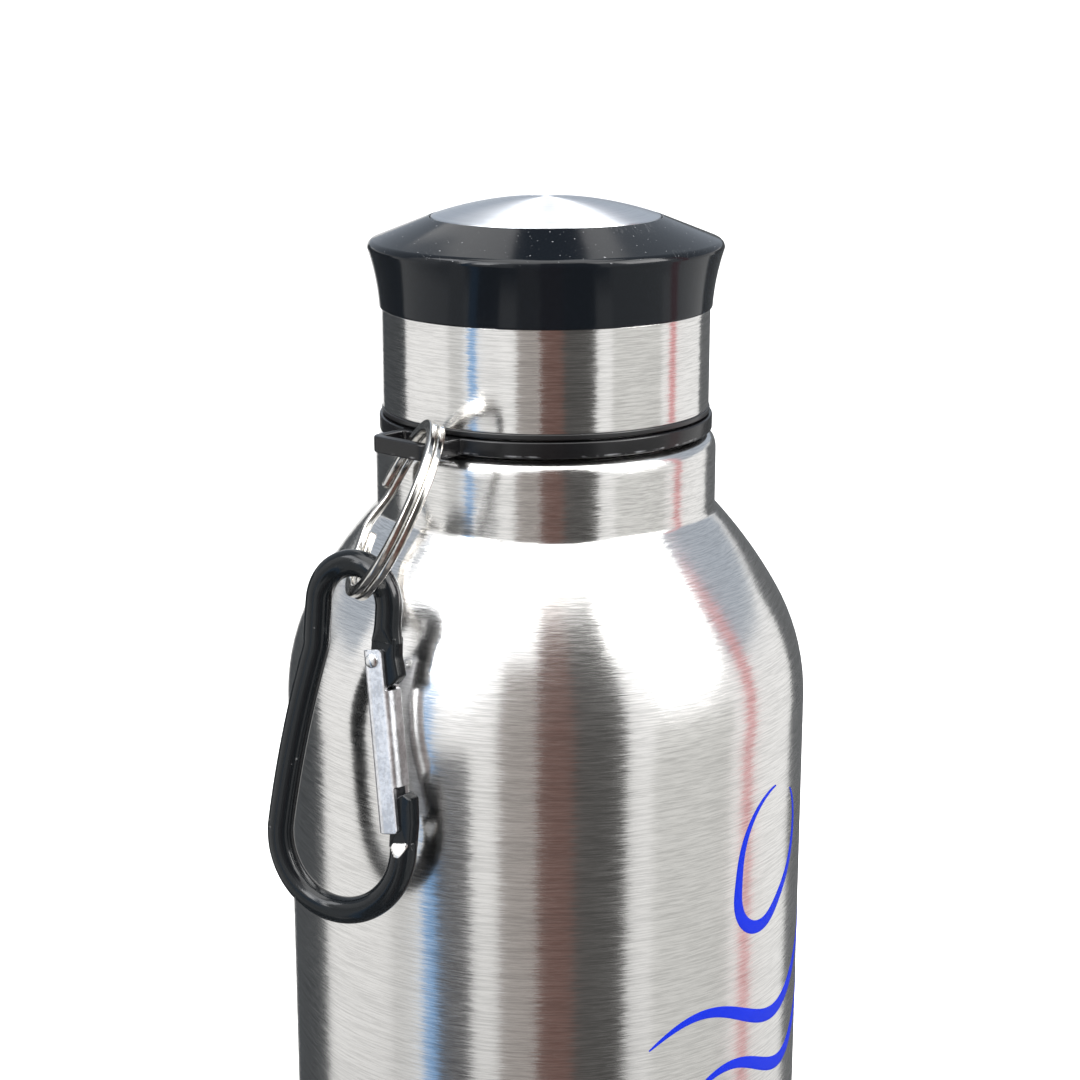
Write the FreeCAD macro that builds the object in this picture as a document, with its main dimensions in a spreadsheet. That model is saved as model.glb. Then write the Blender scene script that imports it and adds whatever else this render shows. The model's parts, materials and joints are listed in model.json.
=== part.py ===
import FreeCAD, Part
import math
import os

import Sketcher
from FreeCAD import Placement, Rotation, Vector

# A one and a half litre vacuum bottle.  The lid screws on with a two-start
# thread, and a loose collar round the neck carries a split ring and a carabiner.
# The bottle stands on the XY plane with its axis on Z; the front faces -Y.

SIZES = {
    # double-walled steel bottle
    "bottle_diameter": 100.0,
    "body_height": 195.8,            # straight wall, up to the start of the shoulder
    "shoulder_height": 37.2,
    "neck_height": 14.0,
    "neck_inset": 17.8,              # neck from the body's skin
    "neck_round": 3.0,               # rounding of the ledge that carries the collar
    "spout_inset": 4.9,              # threaded tube, under its thread, from the neck
    "spout_height": 19.0,
    "outer_wall": 0.6,
    "flask_wall": 0.5,
    "vacuum_gap": 3.0,
    "spout_gap": 0.7,                # vacuum gap inside the spout
    "shoulder_break_in": 5.5,        # where the shoulder's lower arc meets the upper one
    "shoulder_break_rise": 20.5,
    "shoulder_lower_arc": 41.0,
    "shoulder_upper_arc": 90.0,
    "neck_foot_round": 1.6,
    # base
    "base_height": 8.0,
    "base_round": 4.0,
    "base_wall": 0.8,
    "standing_rim": 3.0,
    "base_recess": 3.2,
    "flask_floor_gap": 2.4,          # between getter and flask floor
    "flask_corner": 12.0,
    "port_diameter": 2.0,
    "seal_diameter": 8.0,
    "seal_flat": 5.6,
    "seal_thickness": 0.8,
    "getter_diameter": 14.0,
    "getter_thickness": 2.4,
    "getter_offset": 20.0,
    "cover_wall": 0.6,
    "cover_rim_gap": 1.0,
    # two-start thread
    "thread_depth": 1.2,
    "thread_root": 1.7,
    "thread_crest": 0.8,
    "thread_lead": 8.0,
    "thread_rise": 8.0,              # how far each start climbs
    "thread_start": 1.0,             # first turn, above the band's lower edge
    "thread_clearance": 0.3,
    "lid_thread_depth": 1.1,
    # collar and its lug
    "collar_height": 3.0,
    "collar_inset": 0.8,             # collar's rim from the neck
    "collar_float": 0.8,             # gap under the collar, which is loose
    "collar_play": 0.4,              # radial play over the thread
    "lid_gap": 0.3,                  # gap over the collar
    "lug_width": 14.6,
    "lug_reach": 8.0,                # how far the lug stands out from the collar
    "lug_bar": 2.0,
    "lug_hole_width": 11.0,
    "lug_hole_start": 0.4,           # collar wall beyond the ring
    "lug_round": 2.4,
    "lug_turn": -42.0,               # direction of the lug about Z, from the front
    # lid
    "flange_height": 1.0,
    "flange_inset": 0.5,             # from the collar's rim
    "band_inset": 0.7,               # from the collar's rim
    "band_height": 18.6,
    "band_wall": 0.4,
    "liner_wall_top": 5.4,           # liner above the band, inside the cap
    "liner_top_wall": 1.6,
    "liner_web": 2.0,
    "plug_gap": 0.8,                 # between plug and bottle mouth
    "plug_wall": 1.4,
    "plug_depth": 12.0,              # plug below the lip of the bottle
    "seal_gap": 0.3,
    "seal_height": 1.9,
    "seal_side_gap": 0.3,
    "cap_foot_step": 0.4,            # cap's foot beyond the band
    "cap_flare": 2.1,                # brim beyond the foot
    "cap_height": 11.0,              # flared skirt
    "cap_flare_arc": 45.0,
    "cap_brim": 1.1,
    "cap_brim_round": 0.5,
    "cap_slope_height": 4.6,
    "cap_wall": 2.0,
    "cap_fit": 0.05,
    "disc_inset": 11.8,              # disc's rim from the brim
    "disc_seat": 1.1,
    "disc_rise": 3.5,
    "disc_wall": 0.6,
    "disc_fit": 0.15,
    "tape_width": 4.0,
    "tape_height": 0.7,
    "foam_gap": 0.1,
    "foam_head_gap": 0.4,
    # split ring
    "ring_diameter": 33.9,
    "ring_strip": 2.2,               # radial width of the strip
    "ring_strip_height": 1.4,
    "ring_strip_bevel": 0.3,
    "ring_coil_gap": 0.06,
    "ring_turns": 1.96,
    "ring_on_bar": 1.0,              # gap between strip and lug bar
    "ring_side": 2.8,                # where it crosses the bar, from its middle
    "ring_turn": 53.4,               # about the line it hangs on
    "ring_tilt": 12.1,               # sideways
    "ring_lean": 24.4,               # leans out more than the line to the body
    # carabiner
    "rod_diameter": 4.8,
    "head_diameter": 14.4,           # centreline of the small end
    "foot_diameter": 25.8,           # centreline of the large end
    "carabiner_span": 42.3,          # between the centres of both ends
    "waist_drop": 7.0,
    "waist_arc": 9.0,
    "heel_drop": 5.8,
    "nose_angle": 8.0,
    "carabiner_yaw": -28.0,
    "carabiner_lean": 9.1,           # leans out less than the line to the body
    "carabiner_side": 0.2,
    "carabiner_gap": 1.1,            # between rod and split ring
    "body_clearance": 2.2,           # between hanging rod and body
    # gate
    "gate_width": 5.1,
    "gate_depth": 5.0,
    "gate_sheet": 0.8,
    "gate_length": 32.4,
    "gate_corner": 0.6,
    "gate_step": 1.0,                # the outer bend is cut away at both ends
    "gate_notch": 8.2,               # up from the bottom
    "gate_slot": 7.3,                # down from the top
    "gate_angle": 9.7,
    "gate_top": 1.9,                 # above the pivot
    "gate_web_inset": 2.1,           # web's outer face from the pivot
    "pivot_x": 5.8,
    "pivot_drop": 9.05,
    "pivot_diameter": 1.6,
    "pivot_play": 0.1,
    "rivet_head": 2.8,
    "rivet_head_height": 0.6,
    "tongue_play": 0.1,              # between a tongue and the gate's side plates
    "heel_reach": 5.4,               # heel tongue's round end, from the pivot
    "heel_gap": 0.3,                 # between heel tongue and the gate's web
    "heel_flare": 2.2,
    "tongue_overlap": 1.1,           # how far a tongue runs into the round rod
    "nose_length": 7.6,
    "nose_throat": 3.4,
    "nose_tip": 1.2,
    "spring_wire": 0.4,
    "spring_diameter": 2.4,
    "spring_length": 9.6,
    "spring_turns": 8.0,
    "spring_gap": 0.3,
}


class Length:
    """A length with its value and the sheet expression that it comes from."""

    def __init__(self, value, text):
        self.value = value
        self.text = text

    def join(self, other, sign, swapped=False):
        other = other if isinstance(other, Length) else Length(other, repr(other))
        first, second = (other, self) if swapped else (self, other)
        results = {
            "+": lambda a, b: a + b,
            "-": lambda a, b: a - b,
            "*": lambda a, b: a * b,
            "/": lambda a, b: a / b,
        }
        value = results[sign](first.value, second.value)
        return Length(value, f"({first.text} {sign} {second.text})")

    def __add__(self, other):
        return self.join(other, "+")

    def __radd__(self, other):
        return self.join(other, "+", swapped=True)

    def __sub__(self, other):
        return self.join(other, "-")

    def __rsub__(self, other):
        return self.join(other, "-", swapped=True)

    def __mul__(self, other):
        return self.join(other, "*")

    def __rmul__(self, other):
        return self.join(other, "*", swapped=True)

    def __truediv__(self, other):
        return self.join(other, "/")


doc = FreeCAD.newDocument("vacuum_bottle")
sheet = doc.addObject("Spreadsheet::Sheet", "sizes")
sheet.Label = "sizes"
for row, (name, number) in enumerate(SIZES.items(), start=1):
    sheet.set(f"A{row}", name)
    sheet.set(f"B{row}", str(number))
    sheet.setAlias(f"B{row}", name)
doc.recompute()
nodes = []


def size(name):
    return Length(float(sheet.get(name)), f"sizes.{name}")


ZERO = Length(0.0, "0")


# ---- sketches and bodies -------------------------------------------------

def new_body(label):
    body = doc.addObject("PartDesign::Body", label)
    body.Label = label
    nodes.append(body)
    return body


def new_sketch(body, name, plane, offset=None):
    """A sketch on one of the body's own planes, raised by offset."""
    sketch = body.newObject("Sketcher::SketchObject", name)
    support = next(p for p in body.Origin.OriginFeatures if p.Role == plane)
    sketch.AttachmentSupport = (support, [""])
    sketch.MapMode = "FlatFace"
    if offset:
        sketch.setExpression("AttachmentOffset.Base.z", offset.text)
    return sketch


def bind(sketch, constraint, length):
    index = sketch.addConstraint(constraint)
    sketch.setExpression(f"Constraints[{index}]", length.text)


def place_point(sketch, edge, end, point):
    """Hold one end of an edge at a point given by two lengths."""
    for kind, length in zip(("DistanceX", "DistanceY"), point):
        if length is ZERO:
            axis = -2 if kind == "DistanceX" else -1
            sketch.addConstraint(Sketcher.Constraint("PointOnObject", edge, end, axis))
        else:
            bind(sketch, Sketcher.Constraint(kind, -1, 1, edge, end, length.value), length)


def arc_between(start, end, radius):
    """Arc of a radius between two points; a negative radius bulges to the other side."""
    chord = end - start
    half = chord.Length / 2
    rise = abs(radius) - math.sqrt(radius * radius - half * half)
    side = Vector(chord.y, -chord.x, 0).normalize() * math.copysign(rise, radius)
    return Part.Arc(start, (start + end) / 2 + side, end)


def draw_outline(sketch, outline):
    """Closed outline of (x, y) points; a third entry makes an arc to the next point.

    The third entry is (radius, side): side 1 bulges to the right of the way
    the outline runs, -1 to the left.
    """
    corners = [Vector(p[0].value, p[1].value, 0) for p in outline]
    ends = []
    for i, point in enumerate(outline):
        start, end = corners[i], corners[(i + 1) % len(corners)]
        if len(point) == 2:
            edge = sketch.addGeometry(Part.LineSegment(start, end))
        else:
            radius, side = point[2]
            edge = sketch.addGeometry(arc_between(start, end, side * radius.value))
            bind(sketch, Sketcher.Constraint("Radius", edge, radius.value), radius)
        first = 1 if (sketch.getPoint(edge, 1) - start).Length < 1e-6 else 2
        ends.append((edge, first, 3 - first))
    for i, (edge, first, _) in enumerate(ends):
        before, _, last = ends[i - 1]
        sketch.addConstraint(Sketcher.Constraint("Coincident", before, last, edge, first))
        place_point(sketch, edge, first, outline[i])


def turned(label, outline):
    """A body turned about Z from its outline of (radius, height) points."""
    body = new_body(label)
    sketch = new_sketch(body, label + "_outline", "XZ_Plane")
    draw_outline(sketch, outline)
    turn = body.newObject("PartDesign::Revolution", label + "_turned")
    turn.Profile = sketch
    turn.ReferenceAxis = (sketch, ["V_Axis"])
    turn.Angle = 360
    sketch.Visibility = False
    doc.recompute()
    return body


def circle_edges(shape, radius, height):
    names = []
    for i, edge in enumerate(shape.Edges, start=1):
        curve = edge.Curve
        if not isinstance(curve, Part.Circle):
            continue
        if abs(curve.Radius - radius.value) < 1e-4 and abs(curve.Center.z - height.value) < 1e-4:
            names.append(f"Edge{i}")
    return names


def round_rims(body, rims):
    """Round circular edges of a turned body, each rim a (radius, height, rounding)."""
    for i, (radius, height, rounding) in enumerate(rims):
        base = body.Tip
        fillet = body.newObject("PartDesign::Fillet", f"{body.Label}_round_{i}")
        fillet.Base = (base, circle_edges(base.Shape, radius, height))
        fillet.setExpression("Radius", rounding.text)
        doc.recompute()


def thread(body, name, root, depth, start):
    """Two helical ridges; a negative depth makes them point inwards."""
    foot = size("thread_root") / 2
    crest = size("thread_crest") / 2
    sink = depth * 0.15          # the ridge's foot runs into the wall
    sketch = new_sketch(body, name + "_profile", "XZ_Plane")
    draw_outline(sketch, [
        (root - sink, start - foot),
        (root, start - foot),
        (root + depth, start - crest),
        (root + depth, start + crest),
        (root, start + foot),
        (root - sink, start + foot),
    ])
    ridge = body.newObject("PartDesign::AdditiveHelix", name + "_ridge")
    ridge.Profile = sketch
    ridge.ReferenceAxis = (sketch, ["V_Axis"])
    ridge.Mode = 0
    ridge.setExpression("Pitch", "sizes.thread_lead")
    ridge.setExpression("Height", "sizes.thread_rise")
    doc.recompute()
    starts = body.newObject("PartDesign::PolarPattern", name + "_starts")
    starts.Originals = [ridge]
    starts.Axis = (sketch, ["V_Axis"])
    starts.Angle = 360
    starts.Occurrences = 2
    body.Tip = starts
    doc.recompute()


# ---- places worked out from the sizes ------------------------------------

body_radius = size("bottle_diameter") / 2
shoulder_z = size("body_height")
neck_z = shoulder_z + size("shoulder_height")
ledge_z = neck_z + size("neck_height")
lip_z = ledge_z + size("spout_height")
neck_radius = body_radius - size("neck_inset")
spout_radius = neck_radius - size("spout_inset")
outer_wall = size("outer_wall")
flask_wall = size("flask_wall")
thread_top_radius = spout_radius + size("thread_depth")

collar_z = ledge_z + size("collar_float")
collar_radius = neck_radius - size("collar_inset")
flange_z = collar_z + size("collar_height") + size("lid_gap")
band_z = flange_z + size("flange_height")
cap_z = band_z + size("band_height")
brim_z = cap_z + size("cap_height")
slope_z = brim_z + size("cap_brim")
disc_z = slope_z + size("cap_slope_height")
thread_z = band_z + size("thread_root") + size("thread_start")

slope_in = math.sin(math.radians(30))      # shoulder's slope at its break
slope_out = math.cos(math.radians(30))


def shoulder_outline(inset, last_radius, last_z):
    """Points up a shoulder that lies inset from the outer skin."""
    break_radius = body_radius - size("shoulder_break_in") - inset * slope_out
    break_z = shoulder_z + size("shoulder_break_rise") - inset * slope_in
    lower = size("shoulder_lower_arc") - inset
    upper = size("shoulder_upper_arc") - inset
    return [
        (body_radius - inset, shoulder_z, (lower, 1)),
        (break_radius, break_z, (upper, 1)),
        (last_radius, last_z),
    ]


# ---- bottle --------------------------------------------------------------

def reversed_outline(points):
    """The same outline run backwards, its arcs bulging to the other hand."""
    back = []
    for i in range(len(points) - 1, -1, -1):
        arc = points[i - 1][2:] if i else ()
        turned_arc = tuple((radius, -side) for radius, side in arc)
        back.append(points[i][:2] + turned_arc)
    return back


def make_outer_shell():
    base_z = size("base_height")
    skin = [(body_radius, base_z)]
    skin += shoulder_outline(ZERO, neck_radius, neck_z)
    skin += [
        (neck_radius, ledge_z),
        (spout_radius, ledge_z),
        (spout_radius, lip_z - flask_wall),
    ]
    inside = [(body_radius - outer_wall, base_z)]
    inside += shoulder_outline(outer_wall, neck_radius - outer_wall, neck_z - outer_wall * slope_in)
    inside += [
        (neck_radius - outer_wall, ledge_z - outer_wall),
        (spout_radius - outer_wall, ledge_z - outer_wall),
        (spout_radius - outer_wall, lip_z - flask_wall),
    ]
    body = turned("outer_shell", skin + reversed_outline(inside))
    round_rims(body, [
        (neck_radius, ledge_z, size("neck_round")),
        (neck_radius, neck_z, size("neck_foot_round")),
    ])
    thread(body, "spout_thread", spout_radius, size("thread_depth"), thread_z)
    return body


flask_inset = outer_wall + size("vacuum_gap")
flask_neck_radius = spout_radius - outer_wall - size("spout_gap")
mouth_radius = flask_neck_radius - flask_wall
base_floor_z = size("base_recess") + size("base_wall")
flask_floor_z = base_floor_z + size("getter_thickness") + size("flask_floor_gap")


def make_inner_flask():
    corner = size("flask_corner")
    outside = [
        (ZERO, flask_floor_z),
        (body_radius - flask_inset - corner, flask_floor_z, (corner, 1)),
        (body_radius - flask_inset, flask_floor_z + corner),
    ]
    outside += shoulder_outline(flask_inset, flask_neck_radius, neck_z)
    outside += [
        (flask_neck_radius, lip_z - flask_wall),
        (spout_radius, lip_z - flask_wall),
        (spout_radius, lip_z),
    ]
    inset = flask_inset + flask_wall
    inner_corner = corner - flask_wall
    inside = [
        (ZERO, flask_floor_z + flask_wall),
        (body_radius - inset - inner_corner, flask_floor_z + flask_wall, (inner_corner, 1)),
        (body_radius - inset, flask_floor_z + corner),
    ]
    inside += shoulder_outline(inset, mouth_radius, neck_z - flask_wall * slope_in)
    inside += [(mouth_radius, lip_z)]
    return turned("inner_flask", outside + reversed_outline(inside))


def make_base_cup():
    wall = size("base_wall")
    corner = size("base_round")
    recess = size("base_recess")
    rim_out = body_radius - corner
    rim_in = rim_out - size("standing_rim")
    port = size("port_diameter") / 2
    return turned("base_cup", [
        (body_radius, size("base_height")),
        (body_radius, corner, (corner, 1)),
        (rim_out, ZERO),
        (rim_in, ZERO),
        (rim_in, recess),
        (port, recess),
        (port, recess + wall),
        (rim_in + wall, recess + wall),
        (rim_in + wall, wall),
        (rim_out, wall, (corner - wall, -1)),
        (body_radius - wall, corner),
        (body_radius - wall, size("base_height")),
    ])


def make_base_cover():
    wall = size("cover_wall")
    radius = body_radius - size("base_round") - size("standing_rim") - size("cover_rim_gap")
    face_z = size("base_recess") - size("seal_thickness") - wall * 2
    return turned("base_cover", [
        (ZERO, face_z),
        (radius, face_z),
        (radius, size("base_recess")),
        (radius - wall, size("base_recess")),
        (radius - wall, face_z + wall),
        (ZERO, face_z + wall),
    ])


def make_vacuum_seal():
    radius = size("seal_diameter") / 2
    flat = size("seal_flat") / 2
    top = size("base_recess")
    return turned("vacuum_seal", [
        (ZERO, top - size("seal_thickness")),
        (flat, top - size("seal_thickness"), (flat, 1)),
        (radius, top),
        (ZERO, top),
    ])


def make_getter():
    pill = doc.addObject("Part::Cylinder", "getter")
    pill.setExpression("Radius", "sizes.getter_diameter / 2")
    pill.setExpression("Height", "sizes.getter_thickness")
    pill.setExpression("Placement.Base.x", "sizes.getter_offset")
    pill.setExpression("Placement.Base.z", base_floor_z.text)
    nodes.append(pill)


# ---- lid -----------------------------------------------------------------

liner_bore = thread_top_radius + size("thread_clearance")
band_radius = collar_radius - size("band_inset")
cap_foot_radius = band_radius + size("cap_foot_step")
cap_radius = cap_foot_radius + size("cap_flare")
liner_radius = band_radius - size("band_wall") - size("cap_fit")
seat_z = lip_z + size("seal_gap") + size("seal_height") + size("seal_side_gap") / 2
plug_radius = mouth_radius - size("plug_gap")
plug_z = lip_z - size("plug_depth")
web_z = seat_z + size("liner_web")
liner_top_z = cap_z + size("liner_wall_top")
liner_inner_radius = liner_radius - size("liner_top_wall")
disc_radius = cap_radius - size("disc_inset")
disc_floor_z = disc_z - size("disc_seat")
cap_roof_z = disc_floor_z - size("cap_wall")


def make_lid_liner():
    flange_radius = collar_radius - size("flange_inset")
    plug_inner = plug_radius - size("plug_wall")
    body = turned("lid_liner", [
        (liner_bore, flange_z),
        (flange_radius, flange_z),
        (flange_radius, band_z),
        (liner_radius, band_z),
        (liner_radius, liner_top_z),
        (liner_inner_radius, liner_top_z),
        (liner_inner_radius, web_z),
        (plug_inner, web_z),
        (plug_inner, plug_z + size("plug_wall")),
        (ZERO, plug_z + size("plug_wall")),
        (ZERO, plug_z),
        (plug_radius, plug_z),
        (plug_radius, seat_z),
        (liner_bore, seat_z),
    ])
    half_pitch = size("thread_lead") / 4
    inwards = size("lid_thread_depth") * -1.0
    thread(body, "lid_thread", liner_bore, inwards, thread_z + half_pitch)
    return body


def make_lid_band():
    return turned("lid_band", [
        (band_radius - size("band_wall"), band_z),
        (band_radius, band_z),
        (band_radius, cap_z),
        (band_radius - size("band_wall"), cap_z),
    ])


def make_lid_cap():
    foot, brim = cap_foot_radius, cap_radius
    sleeve = liner_radius + size("cap_fit")
    seat = liner_inner_radius
    rounding = size("cap_brim_round")
    body = turned("lid_cap", [
        (sleeve, cap_z),
        (foot, cap_z, (size("cap_flare_arc"), -1)),
        (brim, brim_z),
        (brim, slope_z),
        (disc_radius + size("disc_fit"), disc_z),
        (disc_radius + size("disc_fit"), disc_floor_z),
        (ZERO, disc_floor_z),
        (ZERO, cap_roof_z),
        (disc_radius - size("cap_wall"), cap_roof_z),
        (seat, slope_z - size("cap_wall")),
        (seat, liner_top_z),
        (sleeve, liner_top_z),
    ])
    round_rims(body, [(brim, brim_z, rounding), (brim, slope_z, rounding)])
    return body


def dome_arc(radius, rise):
    """Radius of the arc that rises by rise over a disc of this radius."""
    return (radius * radius + rise * rise) / (rise * 2)


def make_lid_disc():
    wall = size("disc_wall")
    rise = size("disc_rise")
    inner = disc_radius - wall
    return turned("lid_disc", [
        (disc_radius, disc_floor_z),
        (disc_radius, disc_z, (dome_arc(disc_radius, rise), 1)),
        (ZERO, disc_z + rise),
        (ZERO, disc_z + rise - wall, (dome_arc(inner, rise - wall * 0.5), -1)),
        (inner, disc_z - wall * 0.5),
        (inner, disc_floor_z),
    ])


def make_disc_tape():
    outer = disc_radius - size("disc_wall") - size("foam_gap")
    return turned("disc_tape", [
        (outer - size("tape_width"), disc_floor_z),
        (outer, disc_floor_z),
        (outer, disc_floor_z + size("tape_height")),
        (outer - size("tape_width"), disc_floor_z + size("tape_height")),
    ])


def make_lid_foam():
    gap = size("foam_gap")
    core = plug_radius - size("plug_wall") - gap
    wide = liner_inner_radius - gap
    return turned("lid_foam", [
        (ZERO, plug_z + size("plug_wall") + gap),
        (core, plug_z + size("plug_wall") + gap),
        (core, web_z + gap),
        (wide, web_z + gap),
        (wide, slope_z - size("cap_wall") - size("foam_head_gap")),
        (ZERO, slope_z - size("cap_wall") - size("foam_head_gap")),
    ])


def make_lid_seal():
    inner = plug_radius + size("seal_side_gap")
    outer = liner_bore - size("seal_side_gap")
    bottom = lip_z + size("seal_gap")
    body = turned("lid_seal", [
        (inner, bottom),
        (outer, bottom),
        (outer, bottom + size("seal_height")),
        (inner, bottom + size("seal_height")),
    ])
    rounding = size("seal_height") / 4
    round_rims(body, [(inner, bottom, rounding), (outer, bottom, rounding)])
    return body


# ---- collar with its lug -------------------------------------------------

lug_outer = collar_radius + size("lug_reach")
bar_radius = lug_outer - size("lug_bar") / 2
bar_z = collar_z + size("collar_height") / 2
lug_rotation = Rotation(Vector(0, 0, 1), size("lug_turn").value)


def rectangle(half_width, near, far):
    """Outline in the XY plane, with the far side towards the front."""
    left, right = half_width * -1.0, half_width
    return [(left, near * -1.0), (left, far * -1.0), (right, far * -1.0), (right, near * -1.0)]


def upright_edges(shape, far):
    """Vertical edges at a distance in front of the axis."""
    names = []
    for i, edge in enumerate(shape.Edges, start=1):
        box = edge.BoundBox
        if box.XLength < 1e-6 and box.YLength < 1e-6 and abs(box.YMin + far.value) < 1e-4:
            names.append(f"Edge{i}")
    return names


def make_neck_collar():
    body = new_body("neck_collar")
    ring = new_sketch(body, "collar_circle", "XY_Plane")
    edge = ring.addGeometry(Part.Circle(Vector(0, 0, 0), Vector(0, 0, 1), collar_radius.value))
    ring.addConstraint(Sketcher.Constraint("Coincident", edge, 3, -1, 1))
    bind(ring, Sketcher.Constraint("Radius", edge, collar_radius.value), collar_radius)
    pad = body.newObject("PartDesign::Pad", "collar_plate")
    pad.Profile = ring
    pad.setExpression("Length", "sizes.collar_height")

    lug = new_sketch(body, "lug_outline", "XY_Plane")
    draw_outline(lug, rectangle(size("lug_width") / 2, collar_radius / 2, lug_outer))
    lug_pad = body.newObject("PartDesign::Pad", "lug_plate")
    lug_pad.Profile = lug
    lug_pad.setExpression("Length", "sizes.collar_height")
    doc.recompute()
    corners = body.newObject("PartDesign::Fillet", "lug_corners")
    corners.Base = (lug_pad, upright_edges(lug_pad.Shape, lug_outer))
    corners.setExpression("Radius", "sizes.lug_round")
    doc.recompute()

    bore = new_sketch(body, "collar_bore", "XY_Plane")
    inner = thread_top_radius + size("collar_play")
    edge = bore.addGeometry(Part.Circle(Vector(0, 0, 0), Vector(0, 0, 1), inner.value))
    bore.addConstraint(Sketcher.Constraint("Coincident", edge, 3, -1, 1))
    bind(bore, Sketcher.Constraint("Radius", edge, inner.value), inner)
    hole = new_sketch(body, "lug_hole", "XY_Plane")
    near = collar_radius + size("lug_hole_start")
    far = lug_outer - size("lug_bar")
    draw_outline(hole, rectangle(size("lug_hole_width") / 2, near, far))
    for name, sketch in (("bore_cut", bore), ("hole_cut", hole)):
        cut = body.newObject("PartDesign::Pocket", name)
        cut.Profile = sketch
        cut.Type = 1
        cut.Midplane = True
        doc.recompute()
    body.setExpression("Placement.Base.z", collar_z.text)
    body.Placement.Rotation = lug_rotation
    return body


# ---- split ring ----------------------------------------------------------

def lean_to_body():
    """Angle of the line from the lug bar to the hanging rod beside the body."""
    out = body_radius + size("rod_diameter") / 2 + size("body_clearance") - bar_radius
    down = bar_z - shoulder_z
    return math.degrees(math.atan2(out.value, down.value))


ring_radius = (size("ring_diameter") - size("ring_strip")) / 2


def ring_frame():
    """Point of the lug bar that the ring hangs from, and the ring's turn there."""
    on_bar = lug_rotation.multVec(Vector(size("ring_side").value, -bar_radius.value, 0))
    on_bar.z = bar_z.value
    swing = Rotation(Vector(1, 0, 0), -(lean_to_body() + size("ring_lean").value))
    side = Rotation(Vector(0, 1, 0), -size("ring_tilt").value)
    turn = Rotation(Vector(0, 0, 1), size("ring_turn").value)
    return on_bar, lug_rotation * swing * side * turn


def ring_centre():
    on_bar, rotation = ring_frame()
    corner = math.hypot(size("lug_bar").value / 2, size("collar_height").value / 2)
    inner = ring_radius.value - size("ring_strip").value / 2
    drop = inner - corner - size("ring_on_bar").value
    return on_bar + rotation.multVec(Vector(0, 0, -drop))


def ring_lowest():
    """Lowest point of the ring's centreline, and the strip's direction there."""
    normal = ring_frame()[1].multVec(Vector(1, 0, 0))
    along = normal.cross(Vector(0, 0, 1)).normalize()
    down = normal.cross(along)
    down = down if down.z < 0 else -down
    return ring_centre() + down * ring_radius.value, along


def make_split_ring():
    body = new_body("split_ring")
    half = size("ring_strip") / 2
    height = size("ring_strip_height")
    pitch = height + size("ring_coil_gap")
    climb = pitch * size("ring_turns")
    low = (height + climb / 2) * -0.5
    bevel = size("ring_strip_bevel")
    inside, outside = ring_radius - half, ring_radius + half
    sketch = new_sketch(body, "strip_section", "XZ_Plane")
    draw_outline(sketch, [
        (inside + bevel, low),
        (outside - bevel, low),
        (outside, low + bevel),
        (outside, low + height - bevel),
        (outside - bevel, low + height),
        (inside + bevel, low + height),
        (inside, low + height - bevel),
        (inside, low + bevel),
    ])
    coil = body.newObject("PartDesign::AdditiveHelix", "ring_coils")
    coil.Profile = sketch
    coil.ReferenceAxis = (sketch, ["V_Axis"])
    coil.Mode = 0
    coil.setExpression("Pitch", pitch.text)
    coil.setExpression("Height", climb.text)
    doc.recompute()
    axis_on_x = Rotation(Vector(0, 1, 0), 90)
    body.Placement = Placement(ring_centre(), ring_frame()[1] * axis_on_x)
    return body


# ---- carabiner -----------------------------------------------------------
# Drawn in its own plane: X to the right, Z up, Y through it; the origin is the
# centre of the small end.

rod = size("rod_diameter").value / 2
head = size("head_diameter").value / 2
foot = size("foot_diameter").value / 2
span = size("carabiner_span").value
pivot = Vector(size("pivot_x").value, 0, -size("pivot_drop").value)
gate_rotation = Rotation(Vector(0, 1, 0), -size("gate_angle").value)
tongue_thickness = size("gate_depth") - (size("gate_sheet") + size("tongue_play")) * 2


def carabiner_placement():
    turn = Rotation(Vector(0, 0, 1), size("carabiner_yaw").value)
    lean = Rotation(Vector(1, 0, 0), size("carabiner_lean").value - lean_to_body())
    rotation = turn * lean
    gap = size("carabiner_gap").value + size("ring_strip").value / 2
    shift = Vector(size("carabiner_side").value, 0, gap + rod - head)
    return Placement(ring_lowest()[0] + rotation.multVec(shift), rotation)


def on_circle(centre_z, radius, degrees):
    angle = math.radians(degrees)
    return Vector(radius * math.cos(angle), 0, centre_z + radius * math.sin(angle))


def arc_on_circle(centre_z, radius, start, end):
    middle = on_circle(centre_z, radius, (start + end) / 2)
    first, last = on_circle(centre_z, radius, start), on_circle(centre_z, radius, end)
    return Part.Arc(first, middle, last).toShape()


def heading(first, last):
    """Slope of a chord, in degrees to the left of straight down."""
    return math.degrees(math.atan2(first.x - last.x, first.z - last.z))


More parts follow.
